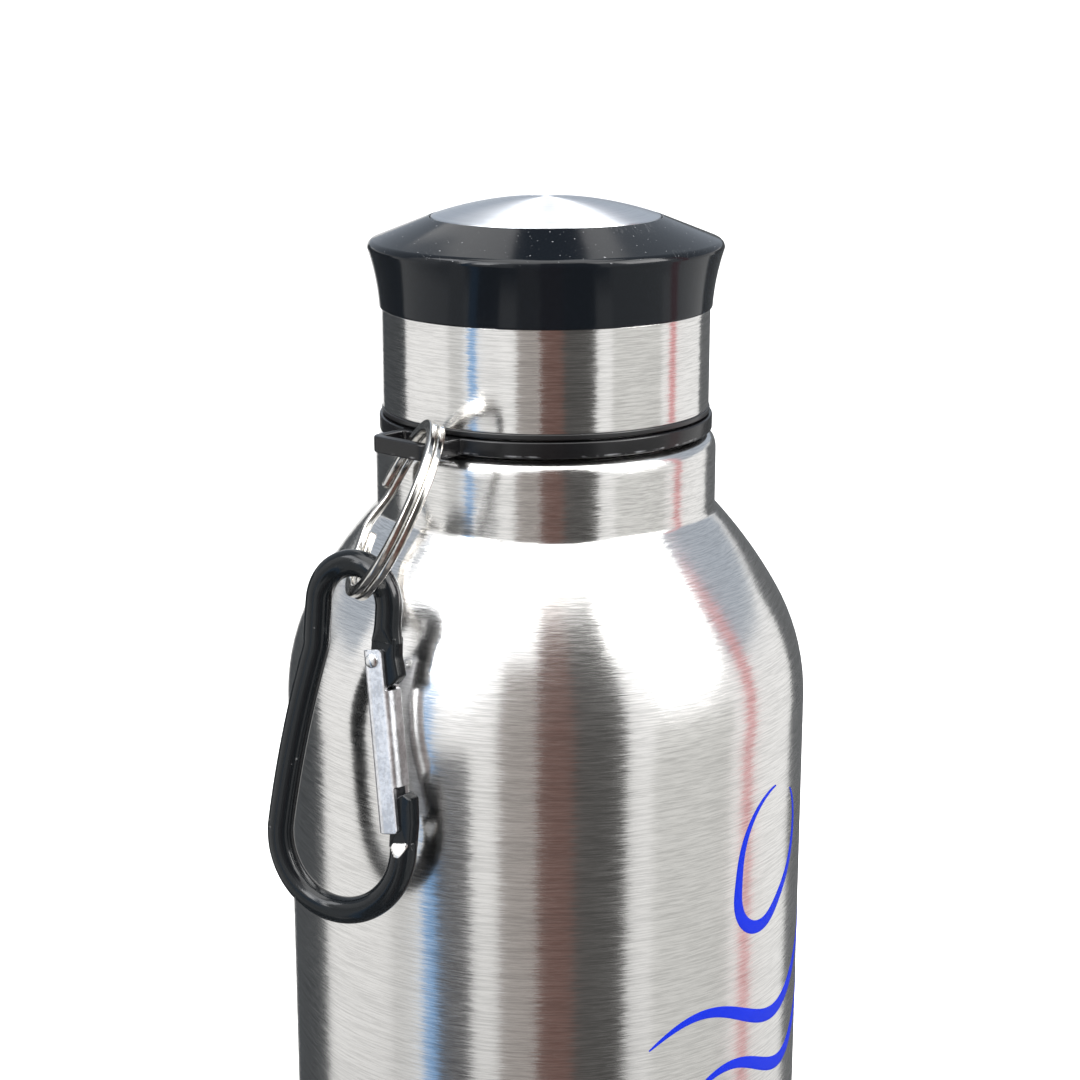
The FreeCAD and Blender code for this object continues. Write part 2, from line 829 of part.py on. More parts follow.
def rod_path():
    """Heel, small end, waist, bowed leg and large end, as tangent arcs."""
    waist_top = Vector(-head, 0, -size("waist_drop").value)
    waist_arc = size("waist_arc").value
    leg_end_turn = 5.0
    waist_turn = leg_end_turn    # grows until both arcs meet the chord alike
    for _ in range(12):
        angle = math.radians(waist_turn)
        waist_end = waist_top + Vector(-waist_arc * (1 - math.cos(angle)), 0, -waist_arc * math.sin(angle))
        leg_end = on_circle(-span, foot, 180 - leg_end_turn)
        waist_turn = 2 * heading(waist_end, leg_end) - leg_end_turn
    half = math.radians(waist_turn / 2)
    waist_middle = waist_top + Vector(-waist_arc * (1 - math.cos(half)), 0, -waist_arc * math.sin(half))
    chord = leg_end - waist_end
    bow = chord.Length / 2 * math.tan(math.radians((waist_turn - leg_end_turn) / 4))
    leg_middle = (waist_end + leg_end) / 2 + Vector(chord.z, 0, -chord.x).normalize() * bow
    heel = Vector(head, 0, -size("heel_drop").value)
    return Part.Wire([
        Part.makeLine(heel, Vector(head, 0, 0)),
        arc_on_circle(0, head, 0, 180),
        Part.makeLine(Vector(-head, 0, 0), waist_top),
        Part.Arc(waist_top, waist_middle, waist_end).toShape(),
        Part.Arc(waist_end, leg_middle, leg_end).toShape(),
        arc_on_circle(-span, foot, 180 - leg_end_turn, 360 + size("nose_angle").value),
    ])


def slab(points, thickness):
    """Plate between the sides of the gate, from its outline in the XZ plane."""
    wire = Part.makePolygon([Vector(x, -thickness / 2, z) for x, z in points + points[:1]])
    return Part.Face(wire).extrude(Vector(0, thickness, 0))


def disc(centre, radius, thickness):
    return Part.makeCylinder(radius, thickness, centre - Vector(0, thickness / 2, 0), Vector(0, 1, 0))


def heel_tongue():
    """Flat end of the rod inside the top of the gate, round about the pivot."""
    thickness = tongue_thickness.value
    reach = size("heel_reach").value
    top = -size("heel_drop").value + size("tongue_overlap").value
    inner = pivot.x - (size("gate_web_inset") - size("gate_sheet") - size("heel_gap")).value
    outer = head + rod
    flare = size("heel_flare").value
    below = reach + flare        # the inner edge runs down along the gate's web
    outline = [
        (head - rod * 0.95, top),
        (outer, top),
        (outer + flare, pivot.z - reach),
        (inner + below * math.tan(math.radians(size("gate_angle").value)), pivot.z - below),
        (inner, pivot.z),
    ]
    above_pivot = slab([(0, pivot.z), (0, top), (head * 2, top), (head * 2, pivot.z)], thickness)
    return slab(outline, thickness).common(disc(pivot, reach, thickness).fuse(above_pivot))


def nose_tongue():
    """Hooked flat end of the rod inside the foot of the gate."""
    end = on_circle(-span, foot, size("nose_angle").value)
    bottom = end.z - size("tongue_overlap").value
    throat = end.z + size("nose_throat").value
    top = end.z + size("nose_length").value
    tip = top + size("nose_tip").value
    outline = [
        (end.x - rod * 0.85, bottom),
        (end.x + rod * 0.9, bottom),
        (end.x + rod * 0.95, throat),
        (end.x + rod * 0.75, tip - rod / 3),
        (end.x + rod * 0.1, tip),
        (end.x - rod * 0.6, top),
        (end.x - rod * 0.6, throat),
        (end.x - rod * 0.85, end.z + rod * 0.85),
    ]
    return slab(outline, tongue_thickness.value)


def make_carabiner_frame():
    frame = doc.addObject("Part::Feature", "carabiner_frame")
    path = rod_path()
    start = path.Edges[0].Vertexes[0].Point
    section = Part.Wire(Part.makeCircle(rod, start, Vector(0, 0, 1)))
    tube = path.makePipeShell([section], True, True)
    shape = tube.fuse([heel_tongue(), nose_tongue()]).removeSplitter()
    hole = disc(pivot, size("pivot_diameter").value / 2, rod * 3)
    frame.Shape = shape.cut(hole)
    frame.Placement = carabiner_placement()
    nodes.append(frame)
    return frame


def make_gate():
    """Folded sheet round the tongues, its pivot at the origin.

    The outer side, on the right, is open at both ends: the heel turns out of the
    upper slot, and the nose passes through the lower one.
    """
    body = new_body("carabiner_gate")
    left = size("gate_web_inset") * -1.0
    right = left + size("gate_width")
    top = size("gate_top")
    bottom = top - size("gate_length")
    sheet_wall = size("gate_sheet")
    corner = size("gate_corner")
    step = size("gate_step")
    notch = bottom + size("gate_notch")
    slot = top - size("gate_slot")
    over = sheet_wall                # cuts run out past the block by this much
    side = new_sketch(body, "gate_side", "XZ_Plane")
    draw_outline(side, [
        (left + corner, top),
        (left, top - corner),
        (left, bottom + corner),
        (left + corner, bottom),
        (right - step - corner, bottom),
        (right - step, bottom + corner),
        (right - step, notch),
        (right, notch),
        (right, slot),
        (right - step, slot),
        (right - step, top - corner),
        (right - step - corner, top),
    ])
    pad = body.newObject("PartDesign::Pad", "gate_block")
    pad.Profile = side
    pad.Midplane = True
    pad.setExpression("Length", "sizes.gate_depth")
    web_top = size("pivot_diameter") * -1.0
    channel = new_sketch(body, "gate_channel", "XZ_Plane")
    draw_outline(channel, [
        (left + sheet_wall, bottom - over),
        (right + over, bottom - over),
        (right + over, top + over),
        (left - over, top + over),
        (left - over, web_top),
        (left + sheet_wall, web_top),
    ])
    inside = body.newObject("PartDesign::Pocket", "gate_inside")
    inside.Profile = channel
    inside.Midplane = True
    inside.setExpression("Length", "sizes.gate_depth - 2 * sizes.gate_sheet")
    outer = new_sketch(body, "outer_web_outline", "XZ_Plane")
    draw_outline(outer, [
        (right - sheet_wall, notch),
        (right, notch),
        (right, slot),
        (right - sheet_wall, slot),
    ])
    outer_pad = body.newObject("PartDesign::Pad", "outer_web")
    outer_pad.Profile = outer
    outer_pad.Midplane = True
    outer_pad.setExpression("Length", "sizes.gate_depth")
    seat = new_sketch(body, "spring_seat_outline", "XZ_Plane")
    seat_z = (size("heel_reach") + size("spring_gap") * 2.0 + size("spring_length")) * -1.0
    draw_outline(seat, [
        (left + sheet_wall * 0.5, seat_z - sheet_wall),
        (right - sheet_wall * 1.5, seat_z - sheet_wall),
        (right - sheet_wall * 1.5, seat_z),
        (left + sheet_wall * 0.5, seat_z),
    ])
    seat_pad = body.newObject("PartDesign::Pad", "spring_seat")
    seat_pad.Profile = seat
    seat_pad.Midplane = True
    seat_pad.setExpression("Length", "sizes.gate_depth - sizes.gate_sheet")
    hole = new_sketch(body, "pivot_hole", "XZ_Plane")
    radius = size("pivot_diameter") / 2 + size("pivot_play")
    edge = hole.addGeometry(Part.Circle(Vector(0, 0, 0), Vector(0, 0, 1), radius.value))
    hole.addConstraint(Sketcher.Constraint("Coincident", edge, 3, -1, 1))
    bind(hole, Sketcher.Constraint("Radius", edge, radius.value), radius)
    drill = body.newObject("PartDesign::Pocket", "pivot_drill")
    drill.Profile = hole
    drill.Type = 1
    drill.Midplane = True
    doc.recompute()
    body.Placement = gate_placement()
    return body


def gate_placement():
    return carabiner_placement() * Placement(pivot, gate_rotation)


def make_rivet():
    """Pin through the pivot, with a domed head on each side."""
    body = new_body("gate_rivet")
    shank = size("pivot_diameter") / 2
    head_radius = size("rivet_head") / 2
    face = size("gate_depth") / 2 + size("pivot_play")
    rise = size("rivet_head_height")
    dome = dome_arc(head_radius, rise)
    sketch = new_sketch(body, "rivet_outline", "XZ_Plane")
    draw_outline(sketch, [
        (ZERO, face + rise, (dome, -1)),
        (head_radius, face),
        (shank, face),
        (shank, face * -1.0),
        (head_radius, face * -1.0, (dome, -1)),
        (ZERO, (face + rise) * -1.0),
    ])
    turn = body.newObject("PartDesign::Revolution", "rivet_turned")
    turn.Profile = sketch
    turn.ReferenceAxis = (sketch, ["V_Axis"])
    turn.Angle = 360
    doc.recompute()
    body.Placement = carabiner_placement() * Placement(pivot, Rotation(Vector(1, 0, 0), 90))
    return body


def make_gate_spring():
    """Coil spring between the heel tongue and its seat in the gate."""
    body = new_body("gate_spring")
    wire = size("spring_wire") / 2
    coil_radius = size("spring_diameter") / 2 - wire
    sketch = new_sketch(body, "wire_section", "XZ_Plane")
    edge = sketch.addGeometry(
        Part.Circle(Vector(coil_radius.value, 0, 0), Vector(0, 0, 1), wire.value))
    bind(sketch, Sketcher.Constraint("DistanceX", -1, 1, edge, 3, coil_radius.value), coil_radius)
    sketch.addConstraint(Sketcher.Constraint("PointOnObject", edge, 3, -1))
    bind(sketch, Sketcher.Constraint("Radius", edge, wire.value), wire)
    coil = body.newObject("PartDesign::AdditiveHelix", "spring_coils")
    coil.Profile = sketch
    coil.ReferenceAxis = (sketch, ["V_Axis"])
    coil.Mode = 0
    free = size("spring_length") - size("spring_wire")
    coil.setExpression("Pitch", (free / size("spring_turns")).text)
    coil.setExpression("Height", free.text)
    doc.recompute()
    start = size("heel_reach").value + size("spring_gap").value + size("spring_length").value
    middle = (size("gate_width") - size("gate_sheet")).value / 2 - size("gate_web_inset").value
    offset = Vector(middle, 0, -start + wire.value)
    body.Placement = gate_placement() * Placement(offset, Rotation())
    return body


make_outer_shell()
make_inner_flask()
make_base_cup()
make_base_cover()
make_vacuum_seal()
make_getter()
make_lid_liner()
make_lid_band()
make_lid_cap()
make_lid_disc()
make_disc_tape()
make_lid_foam()
make_lid_seal()
make_neck_collar()
make_split_ring()
make_carabiner_frame()
make_gate()
make_rivet()
make_gate_spring()
doc.recompute()

for item in doc.Objects:
    if "Invalid" in item.State or "Error" in item.State:
        raise SystemExit(f"{item.Label} failed: {item.State}")

os.makedirs("parts", exist_ok=True)
for node in nodes:
    if node.Shape.isNull() or not node.Shape.isValid() or not node.Shape.Solids:
        raise SystemExit(f"{node.Label} has no valid solid")
    node.Shape.exportStep(f"parts/{node.Label}.step")
    print(f"{node.Label:18s} {node.Shape.Volume / 1000:9.3f} cm3  solids {len(node.Shape.Solids)}")
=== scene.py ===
import json
import math

import bmesh
import bpy
import numpy as np
from mathutils import Matrix, Vector


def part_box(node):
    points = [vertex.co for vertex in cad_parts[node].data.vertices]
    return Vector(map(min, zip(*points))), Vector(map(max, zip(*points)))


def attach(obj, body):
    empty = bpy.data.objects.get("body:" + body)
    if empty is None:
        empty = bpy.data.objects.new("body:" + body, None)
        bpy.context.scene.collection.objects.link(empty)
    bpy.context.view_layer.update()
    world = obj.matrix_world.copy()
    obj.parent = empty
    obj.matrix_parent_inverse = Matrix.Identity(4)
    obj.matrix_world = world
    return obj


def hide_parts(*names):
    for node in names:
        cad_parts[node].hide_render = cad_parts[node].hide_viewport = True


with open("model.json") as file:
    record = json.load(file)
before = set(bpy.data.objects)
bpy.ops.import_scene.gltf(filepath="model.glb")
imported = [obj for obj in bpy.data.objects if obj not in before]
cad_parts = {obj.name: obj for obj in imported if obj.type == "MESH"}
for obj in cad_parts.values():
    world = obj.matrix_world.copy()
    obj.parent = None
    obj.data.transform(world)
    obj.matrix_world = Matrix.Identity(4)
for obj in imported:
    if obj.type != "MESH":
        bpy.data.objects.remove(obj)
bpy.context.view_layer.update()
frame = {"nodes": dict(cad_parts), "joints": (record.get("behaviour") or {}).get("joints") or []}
mm = 0.001
up = Vector((0, 0, 1))
print("frame loaded")


def runLength(start, end, arc):
    # A straight run is its chord; an arc of radius R over a chord c is 2 R asin(c / 2R).
    chord = math.dist(start, end)
    return 2 * abs(arc) * math.asin(min(1, chord / 2 / abs(arc))) if arc else chord


def runAlong(start, end, arc, distances):
    # Points and directions at distances along a straight run, or along an arc of the
    # signed radius, which bulges to the right of the way it runs when it is positive.
    start, end = np.array(start, float), np.array(end, float)
    chord = end - start
    length = np.hypot(*chord)
    if not arc:
        way = chord / length
        return start + np.outer(distances, way), np.tile(way, (len(distances), 1))
    side = np.array([chord[1], -chord[0]]) / length * np.sign(arc)
    centre = (start + end) / 2 - side * math.sqrt(max(0, arc * arc - length * length / 4))
    angle = math.atan2(*(start - centre)[::-1]) + np.sign(arc) * distances / abs(arc)
    ray = np.stack([np.cos(angle), np.sin(angle)], 1)
    way = np.stack([-np.sin(angle), np.cos(angle)], 1) * np.sign(arc)
    return centre + abs(arc) * ray, way


def outlinePoints(stops, closed=True, step=1.5, support=0.12, degrees=10):
    # Each stop is (across, up, rounding, arc to the next stop), in millimetres.  A corner
    # is cut back by rounding * tan(half its turn) and bridged by a cubic curve whose
    # handles are 4/3 rounding tan(a quarter of its turn), close to a circle.
    stops = [tuple(stop) + (0,) * (4 - len(stop)) for stop in stops]
    count = len(stops) if closed else len(stops) - 1
    runs = []
    for i in range(count):
        first, second = stops[i], stops[(i + 1) % len(stops)]
        length = runLength(first[:2], second[:2], first[3])
        ways = runAlong(first[:2], second[:2], first[3], np.array([0, length]))[1]
        runs.append([first, second, length, ways, 0.0, 0.0])
    corners = range(count) if closed else range(1, count)
    turns = {}
    for i in corners:
        before, after = runs[i - 1], runs[i]
        turn = math.acos(max(-1, min(1, float(before[3][1] @ after[3][0]))))
        cut = after[0][2] * math.tan(turn / 2)
        before[5] = min(cut, before[2] * 0.48)
        after[4] = min(cut, after[2] * 0.48)
        turns[i] = turn
    points = []
    for i, (first, second, length, ways, cutStart, cutEnd) in enumerate(runs):
        spacing = max(step, 0.3) if not first[3] else min(step, abs(first[3]) * math.radians(degrees / 2))
        low, high = cutStart, length - cutEnd
        along = np.linspace(low, high, max(2, math.ceil((high - low) / spacing) + 1))
        if not first[3] and high - low > 4 * support:
            along = np.sort(np.concatenate([along, [low + support, high - support]]))
        place, way = runAlong(first[:2], second[:2], first[3], along)
        if i in turns and cutStart > 0:
            reach = 4 / 3 * first[2] * math.tan(turns[i] / 4)
            entry, entryWay = ends if i else lastEnd(runs)
            t = np.linspace(0, 1, max(3, math.ceil(math.degrees(turns[i]) / degrees) + 1))[1:-1, None]
            handleIn, handleOut = entry + entryWay * reach, place[0] - way[0] * reach
            points.append((1 - t) ** 3 * entry + 3 * (1 - t) ** 2 * t * handleIn
                          + 3 * (1 - t) * t * t * handleOut + t ** 3 * place[0])
        points.append(place)
        ends = place[-1], way[-1]
    points = np.concatenate(points)
    keep = np.hypot(*(points - np.roll(points, 1, 0)).T) > 1e-5
    keep[0] = True if not closed else keep[0]
    return points[keep]


def lastEnd(runs):
    first, second, length, _, _, cutEnd = runs[-1]
    place, way = runAlong(first[:2], second[:2], first[3], np.array([length - cutEnd]))
    return place[0], way[0]


def gridMesh(name, grid, wrapRows=False, wrapColumns=True, poleStart=False, poleEnd=False):
    # Quads between neighbouring points of a grid.  A pole row is one point, and its
    # quads become triangles; a negative volume turns every face round.
    rows, columns = grid.shape[:2]
    index = np.arange(rows * columns).reshape(rows, columns)
    index[0] = index[0, 0] if poleStart else index[0]
    index[-1] = index[-1, 0] if poleEnd else index[-1]
    index = np.hstack([index, index[:, :1]]) if wrapColumns else index
    index = np.vstack([index, index[:1]]) if wrapRows else index
    quads = np.stack([index[:-1, :-1], index[:-1, 1:], index[1:, 1:], index[1:, :-1]], -1).reshape(-1, 4)
    used, quads = np.unique(quads, return_inverse=True)
    points = grid.reshape(-1, 3)[used]
    quads = quads.reshape(-1, 4)
    a, b, c, d = (points[quads[:, i]] for i in range(4))
    volume = (np.einsum("ij,ij->i", a, np.cross(b, c)) + np.einsum("ij,ij->i", a, np.cross(c, d))).sum()
    quads = quads[:, ::-1] if volume < 0 else quads
    faces = [list(dict.fromkeys(face)) for face in quads.tolist()]
    mesh = bpy.data.meshes.new(name)
    mesh.from_pydata(points * mm, [], faces)
    mesh.validate()
    return mesh


def linked(name, data):
    made = bpy.data.objects.new(name, data)
    bpy.context.scene.collection.objects.link(made)
    return made


def finalMesh(holder, name):
    bpy.context.view_layer.update()
    made = bpy.data.meshes.new_from_object(holder.evaluated_get(bpy.context.evaluated_depsgraph_get()))
    made.name = name
    return made


def addPiece(mesh, material, body, nodes=(), place=None, sharpAngle=None):
    # A piece keeps its place in its mesh; it rides on a body and stands for CAD nodes.
    if place is not None:
        mesh.transform(place)
    mesh.shade_smooth()
    if sharpAngle:
        mesh.set_sharp_from_angle(angle=math.radians(sharpAngle))
    mesh.materials.clear()
    mesh.materials.append(material)
    piece = linked(mesh.name, mesh)
    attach(piece, body)
    if nodes:
        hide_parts(*nodes)
    return piece


def turnedGrid(outline, around):
    # The point at angle a of an outline point (r, z) is (r cos a, r sin a, z).
    angle = np.linspace(0, 2 * math.pi, around, endpoint=False)
    radius, height = outline[:, 0, None], outline[:, 1, None]
    return np.stack([radius * np.cos(angle), radius * np.sin(angle), height + 0 * angle], -1)


def turnedMesh(name, stops, around=224, closed=True, **detail):
    grid = turnedGrid(outlinePoints(stops, closed, **detail), around)
    return gridMesh(name, grid, wrapRows=closed, poleStart=not closed, poleEnd=not closed)


def sweptMesh(name, path, side, lift, sections):
    # Each path point carries its section: place = path + u * side + v * lift, and both
    # ends are drawn together on the path.
    grid = path[:, None] + sections[..., :1] * side[:, None] + sections[..., 1:] * lift[:, None]
    grid = np.concatenate([path[:1, None] + 0 * grid[:1], grid, path[-1:, None] + 0 * grid[-1:]])
    return gridMesh(name, grid, poleStart=True, poleEnd=True)


def plateMesh(name, outline, thickness, edge):
    # An outline in the XZ plane, thickened along Y: the rim is a quarter round of radius
    # edge on both sides, and each face is a fan from the outline's middle.
    ahead = np.roll(outline, -1, 0) - np.roll(outline, 1, 0)
    inward = np.stack([-ahead[:, 1], ahead[:, 0]], 1)
    inward /= np.hypot(*inward.T)[:, None]
    middle = outline.mean(0)
    if ((middle - outline) * inward).sum() < 0:
        inward = -inward
    quarter = np.linspace(0, math.pi / 2, 5)
    inset = np.concatenate([edge * (1 - np.sin(quarter)), edge * (1 - np.cos(quarter))])
    level = np.concatenate([edge * (np.cos(quarter) - 1), -thickness + edge * (1 - np.sin(quarter))])
    level = level + thickness / 2
    flat = outline[None] + inset[:, None, None] * inward[None]
    grid = np.stack([flat[..., 0], level[:, None] + 0 * flat[..., 0], flat[..., 1]], -1)
    pole = np.array([middle[0], 0, middle[1]])
    first, last = pole + [0, thickness / 2, 0], pole - [0, thickness / 2, 0]
    grid = np.concatenate([first + 0 * grid[:1], grid, last + 0 * grid[-1:]])
    return gridMesh(name, grid, poleStart=True, poleEnd=True)


def prismMesh(name, outline, low, high):
    # A closed block between two levels on Y from a star-shaped outline in the XZ plane.
    levels = np.array([low, low, high, high])
    shrink = np.array([0, 1, 1, 0])
    middle = outline.mean(0)
    flat = middle + shrink[:, None, None] * (outline - middle)
    grid = np.stack([flat[..., 0], levels[:, None] + 0 * flat[..., 0], flat[..., 1]], -1)
    return gridMesh(name, grid, poleStart=True, poleEnd=True)


def carve(mesh, cuts):
    # Each cut is (block mesh, "DIFFERENCE" or "INTERSECT"), worked out one after another.
    holder = linked("carveHolder", mesh)
    blocks = []
    for block, kind in cuts:
        cutter = linked("carveBlock", block)
        modifier = holder.modifiers.new("carve", "BOOLEAN")
        modifier.operation, modifier.object, modifier.solver = kind, cutter, "EXACT"
        blocks.append(cutter)
    made = finalMesh(holder, mesh.name + "Carved")
    for thing in [holder] + blocks:
        bpy.data.objects.remove(thing)
    return made


class Value:
    # A node socket; arithmetic on it adds Math nodes, with numbers set on their sockets.
    def __init__(self, finish, socket):
        self.finish, self.socket = finish, socket

    def maths(self, kind, first, second=None):
        values = {0: first} if second is None else {0: first, 1: second}
        return self.finish.node("Math", {"operation": kind}, values)

    def __add__(self, other):
        return self.maths("ADD", self, other)

    def __sub__(self, other):
        return self.maths("SUBTRACT", self, other)

    def __mul__(self, other):
        return self.maths("MULTIPLY", self, other)

    def __truediv__(self, other):
        return self.maths("DIVIDE", self, other)

    def __pow__(self, other):
        return self.maths("POWER", self, other)

    def __rsub__(self, other):
        return self.maths("SUBTRACT", other, self)

    def __rtruediv__(self, other):
        return self.maths("DIVIDE", other, self)

    __radd__, __rmul__ = __add__, __mul__


class Finish:
    # One material; node() adds any node: its type, its settings, then its sockets.
    def __init__(self, name):
        self.material = bpy.data.materials.new(name)
        self.material.use_nodes = True
        self.tree = self.material.node_tree
        self.tree.nodes.clear()

    def node(self, kind, settings, values, output=0):
        made = self.tree.nodes.new("ShaderNode" + kind)
        for key, value in settings.items():
            if key == "stops":
                ramp = made.color_ramp.elements
                while len(ramp) < len(value):
                    ramp.new(0.5)
                for stop, (place, shade) in zip(ramp, value):
                    stop.position, stop.color = place, (shade, shade, shade, 1)
            else:
                setattr(made, key, value)
        for key, value in values.items():
            if isinstance(value, Value):
                self.tree.links.new(value.socket, made.inputs[key])
            else:
                made.inputs[key].default_value = value
        return Value(self, made.outputs[output]) if len(made.outputs) else None

    def place(self):
        return self.node("TexCoord", {}, {}, "Object")

    def apart(self, vector):
        return [self.node("SeparateXYZ", {}, {0: vector}, axis) for axis in "XYZ"]

    def together(self, x, y, z):
        return self.node("CombineXYZ", {}, {0: x, 1: y, 2: z})

    def noise(self, vector, scale, detail=2.0, roughness=0.5):
        return self.node("TexNoise", {}, {"Vector": vector, "Scale": scale, "Detail": detail,
                                          "Roughness": roughness})

    def between(self, value, low, high):
        # 0 below low, 1 above high, smooth between
        return self.node("MapRange", {"interpolation_type": "SMOOTHSTEP"},
                         {"Value": value, "From Min": low, "From Max": high})

    def blend(self, factor, first, second):
        return self.node("Mix", {"data_type": "RGBA"}, {0: factor, 6: first, 7: second}, 2)

    def bump(self, height):
        # the height is in metres
        return self.node("Bump", {}, {"Height": height, "Distance": 1.0, "Strength": 1.0})

    def surface(self, values):
        shader = self.node("BsdfPrincipled", {}, values)
        self.node("OutputMaterial", {}, {"Surface": shader})
        return self.material


def colour(r, g, b):
    return (r, g, b, 1.0)


steelLook = {
    "colour": (0.80, 0.79, 0.775),
    "roughness": 0.17,
    "stretch": 0.72,          # how far highlights stretch across the brushing
    "hairLength": 3.6,        # millimetres, roughly
    "hairWidth": 0.16,
    "hairDepth": 0.0045,      # millimetres
    "sway": 0.11,             # how far single strokes turn the skin sideways, as a slope
    "tones": 0.78,            # how dark the darkest strokes are
}


def brushedSteel(name, look, radius, **changes):
    # Strokes run round the axis: noise over (x / r, y / r, z - r), stretched so that a
    # stroke is long round the piece and thin along its outline.  Each stroke tilts the skin
    # along itself as well, which frays the upright edges of reflections.
    look = {**look, **changes}
    finish = Finish(name)
    place = finish.place()
    x, y, z = finish.apart(place)
    away = (x * x + y * y + 1e-9) ** 0.5
    turnX, turnY, along = x / away, y / away, z - away
    turn = radius / mm / look["hairLength"]
    fine = 1 / (look["hairWidth"] * mm)

    def strokes(length, width, detail, shift=0.0):
        scaled = finish.together(turnX * (turn / length), turnY * (turn / length),
                                 along * (fine / width) + shift)
        return finish.noise(scaled, 1.0, detail, 0.6)

    hair, longHair = strokes(1.0, 1.0, 2.0), strokes(4.0, 2.2, 2.0)
    sideways = strokes(0.8, 0.9, 1.0, 40.0) * 0.6 + strokes(2.0, 1.6, 1.0, 90.0) * 0.4 - 0.5
    height = (hair + longHair * 1.4) * (look["hairDepth"] * mm)
    tangent = finish.node("Tangent", {"direction_type": "RADIAL", "axis": "Z"}, {})
    lean = finish.node("VectorMath", {"operation": "SCALE"}, {0: tangent, "Scale": sideways * look["sway"]})
    leant = finish.node("VectorMath", {"operation": "ADD"}, {0: finish.bump(height), 1: lean})
    smudge = finish.noise(place, 38.0, 3.0, 0.6)
    tone = finish.between(longHair * 0.5 + hair * 0.5, 0.36, 0.60)
    dark = colour(*(c * look["tones"] for c in look["colour"]))
    return finish.surface({
        "Base Color": finish.blend(tone, dark, colour(*look["colour"])), "Metallic": 1.0,
        "Roughness": smudge * 0.05 + (hair - 0.5) * 0.2 + look["roughness"],
        "Anisotropic": look["stretch"], "Anisotropic Rotation": 0.25,
        "Normal": finish.node("VectorMath", {"operation": "NORMALIZE"}, {0: leant}),
    })


def mouldedPlastic(name, shade, roughness, dustAmount, scratchAmount, grain=0.0, specular=0.5, highlightLineAt=None):
    # Black moulded plastic: a faint waviness, dust specks, and hair scratches where a
    # stretched noise crosses its middle value; given a height, also a painted highlight line there.
    finish = Finish(name)
    place = finish.place()
    x, y, z = finish.apart(place)
    wave = finish.noise(place, 160.0, 1.0)
    fine = finish.noise(place, 5200.0, 1.0)
    speck = finish.noise(place, 2300.0, 0.0)
    facing = finish.apart(finish.node("NewGeometry", {}, {}, "Normal"))[2]
    upward = finish.between(facing, 0.2, 0.6)
    dust = finish.between(speck, 0.81, 0.86) * upward * dustAmount
    twisted = finish.together(x + y * 0.6, y - x * 0.6, z * 2.5)
    combed = finish.together(x * 900 + y * 250, y * 60 - x * 40, z * 260)
    scratchNoise = finish.noise(combed, 1.0, 2.0, 0.6)
    crossing = finish.node("Math", {"operation": "ABSOLUTE"}, {0: scratchNoise - 0.5})
    patches = finish.between(finish.noise(twisted, 70.0, 1.0), 0.55, 0.7)
    scratch = (1 - finish.between(crossing, 0.002, 0.008)) * patches * upward * scratchAmount
    light = dust + scratch * 0.25
    if highlightLineAt is not None:
        # a painted highlight: a thin pale line at the given height, near the part's lower edge, broken by noise
        line = 1 - finish.between(finish.node("Math", {"operation": "ABSOLUTE"}, {0: z - highlightLineAt * mm}),
                                  0.00008, 0.00022)
        light = light + line * finish.between(finish.noise(place, 420.0, 3.0), 0.5, 0.7) * 0.16
    base = finish.blend(light, colour(*shade), colour(0.62, 0.63, 0.65))
    height = wave * 0.012 * mm + fine * grain * mm + scratch * -0.004 * mm + dust * 0.02 * mm
    rough = roughness + wave * 0.03 + light * 0.35 + fine * 0.04
    return finish.surface({
        "Base Color": base, "Roughness": rough, "Specular IOR Level": specular,
        "Normal": finish.bump(height),
    })


def plainMetal(name, shade, roughness, grainScale, grainDepth, stains=0.1, stretch=0.0):
    # Bare metal with an even grain and faint stains.
    finish = Finish(name)
    place = finish.place()
    grain = finish.noise(place, grainScale, 3.0, 0.65)
    stain = finish.noise(place, 260.0, 3.0, 0.6)
    dark = colour(*(c * 0.72 for c in shade))
    base = finish.blend(finish.between(stain * 0.5 + grain * 0.5, 0.38, 0.6), dark, colour(*shade))
    return finish.surface({
        "Base Color": base, "Metallic": 1.0, "Roughness": roughness + stain * stains + grain * 0.08,
        "Normal": finish.bump(grain * grainDepth * mm), "Anisotropic": stretch,
    })


def softRubber(name, shade, roughness, grainScale, transmission=0.0):
    finish = Finish(name)
    place = finish.place()
    grain = finish.noise(place, grainScale, 3.0, 0.6)
    cloud = finish.noise(place, 90.0, 2.0)
    dark = colour(*(c * 0.85 for c in shade))
    return finish.surface({
        "Base Color": finish.blend(cloud, dark, colour(*shade)), "Roughness": roughness + grain * 0.15,
        "Normal": finish.bump(grain * 0.02 * mm), "Subsurface Weight": transmission,
        "Subsurface Radius": (0.002, 0.002, 0.002), "Subsurface Scale": 0.5,
    })


def anodisedRod():
    # Black anodising over aluminium: satin gloss, faint drawing marks, and bare metal
    # where the piece's worn attribute and a ragged noise say so.
    finish = Finish("carabinerBlack")
    place = finish.place()
    worn = finish.node("Attribute", {"attribute_name": "worn"}, {}, "Fac")
    rag = finish.noise(place, 1400.0, 3.0, 0.6)
    fine = finish.noise(place, 4200.0, 2.0, 0.6)
    chips = finish.between(finish.noise(place, 700.0, 2.0, 0.5), 0.74, 0.78)
    bare = finish.between(worn + rag * 0.5, 0.62, 0.78)
    base = finish.blend(bare, colour(0.004, 0.005, 0.006), colour(0.74, 0.73, 0.71))
    base = finish.blend(chips * 0.25, base, colour(0.45, 0.45, 0.45))
    return finish.surface({
        "Base Color": base, "Metallic": bare, "Roughness": 0.1 + fine * 0.08 + bare * 0.16,
        "Specular IOR Level": 0.3,
        "Normal": finish.bump(rag * 0.008 * mm + fine * 0.003 * mm),
    })


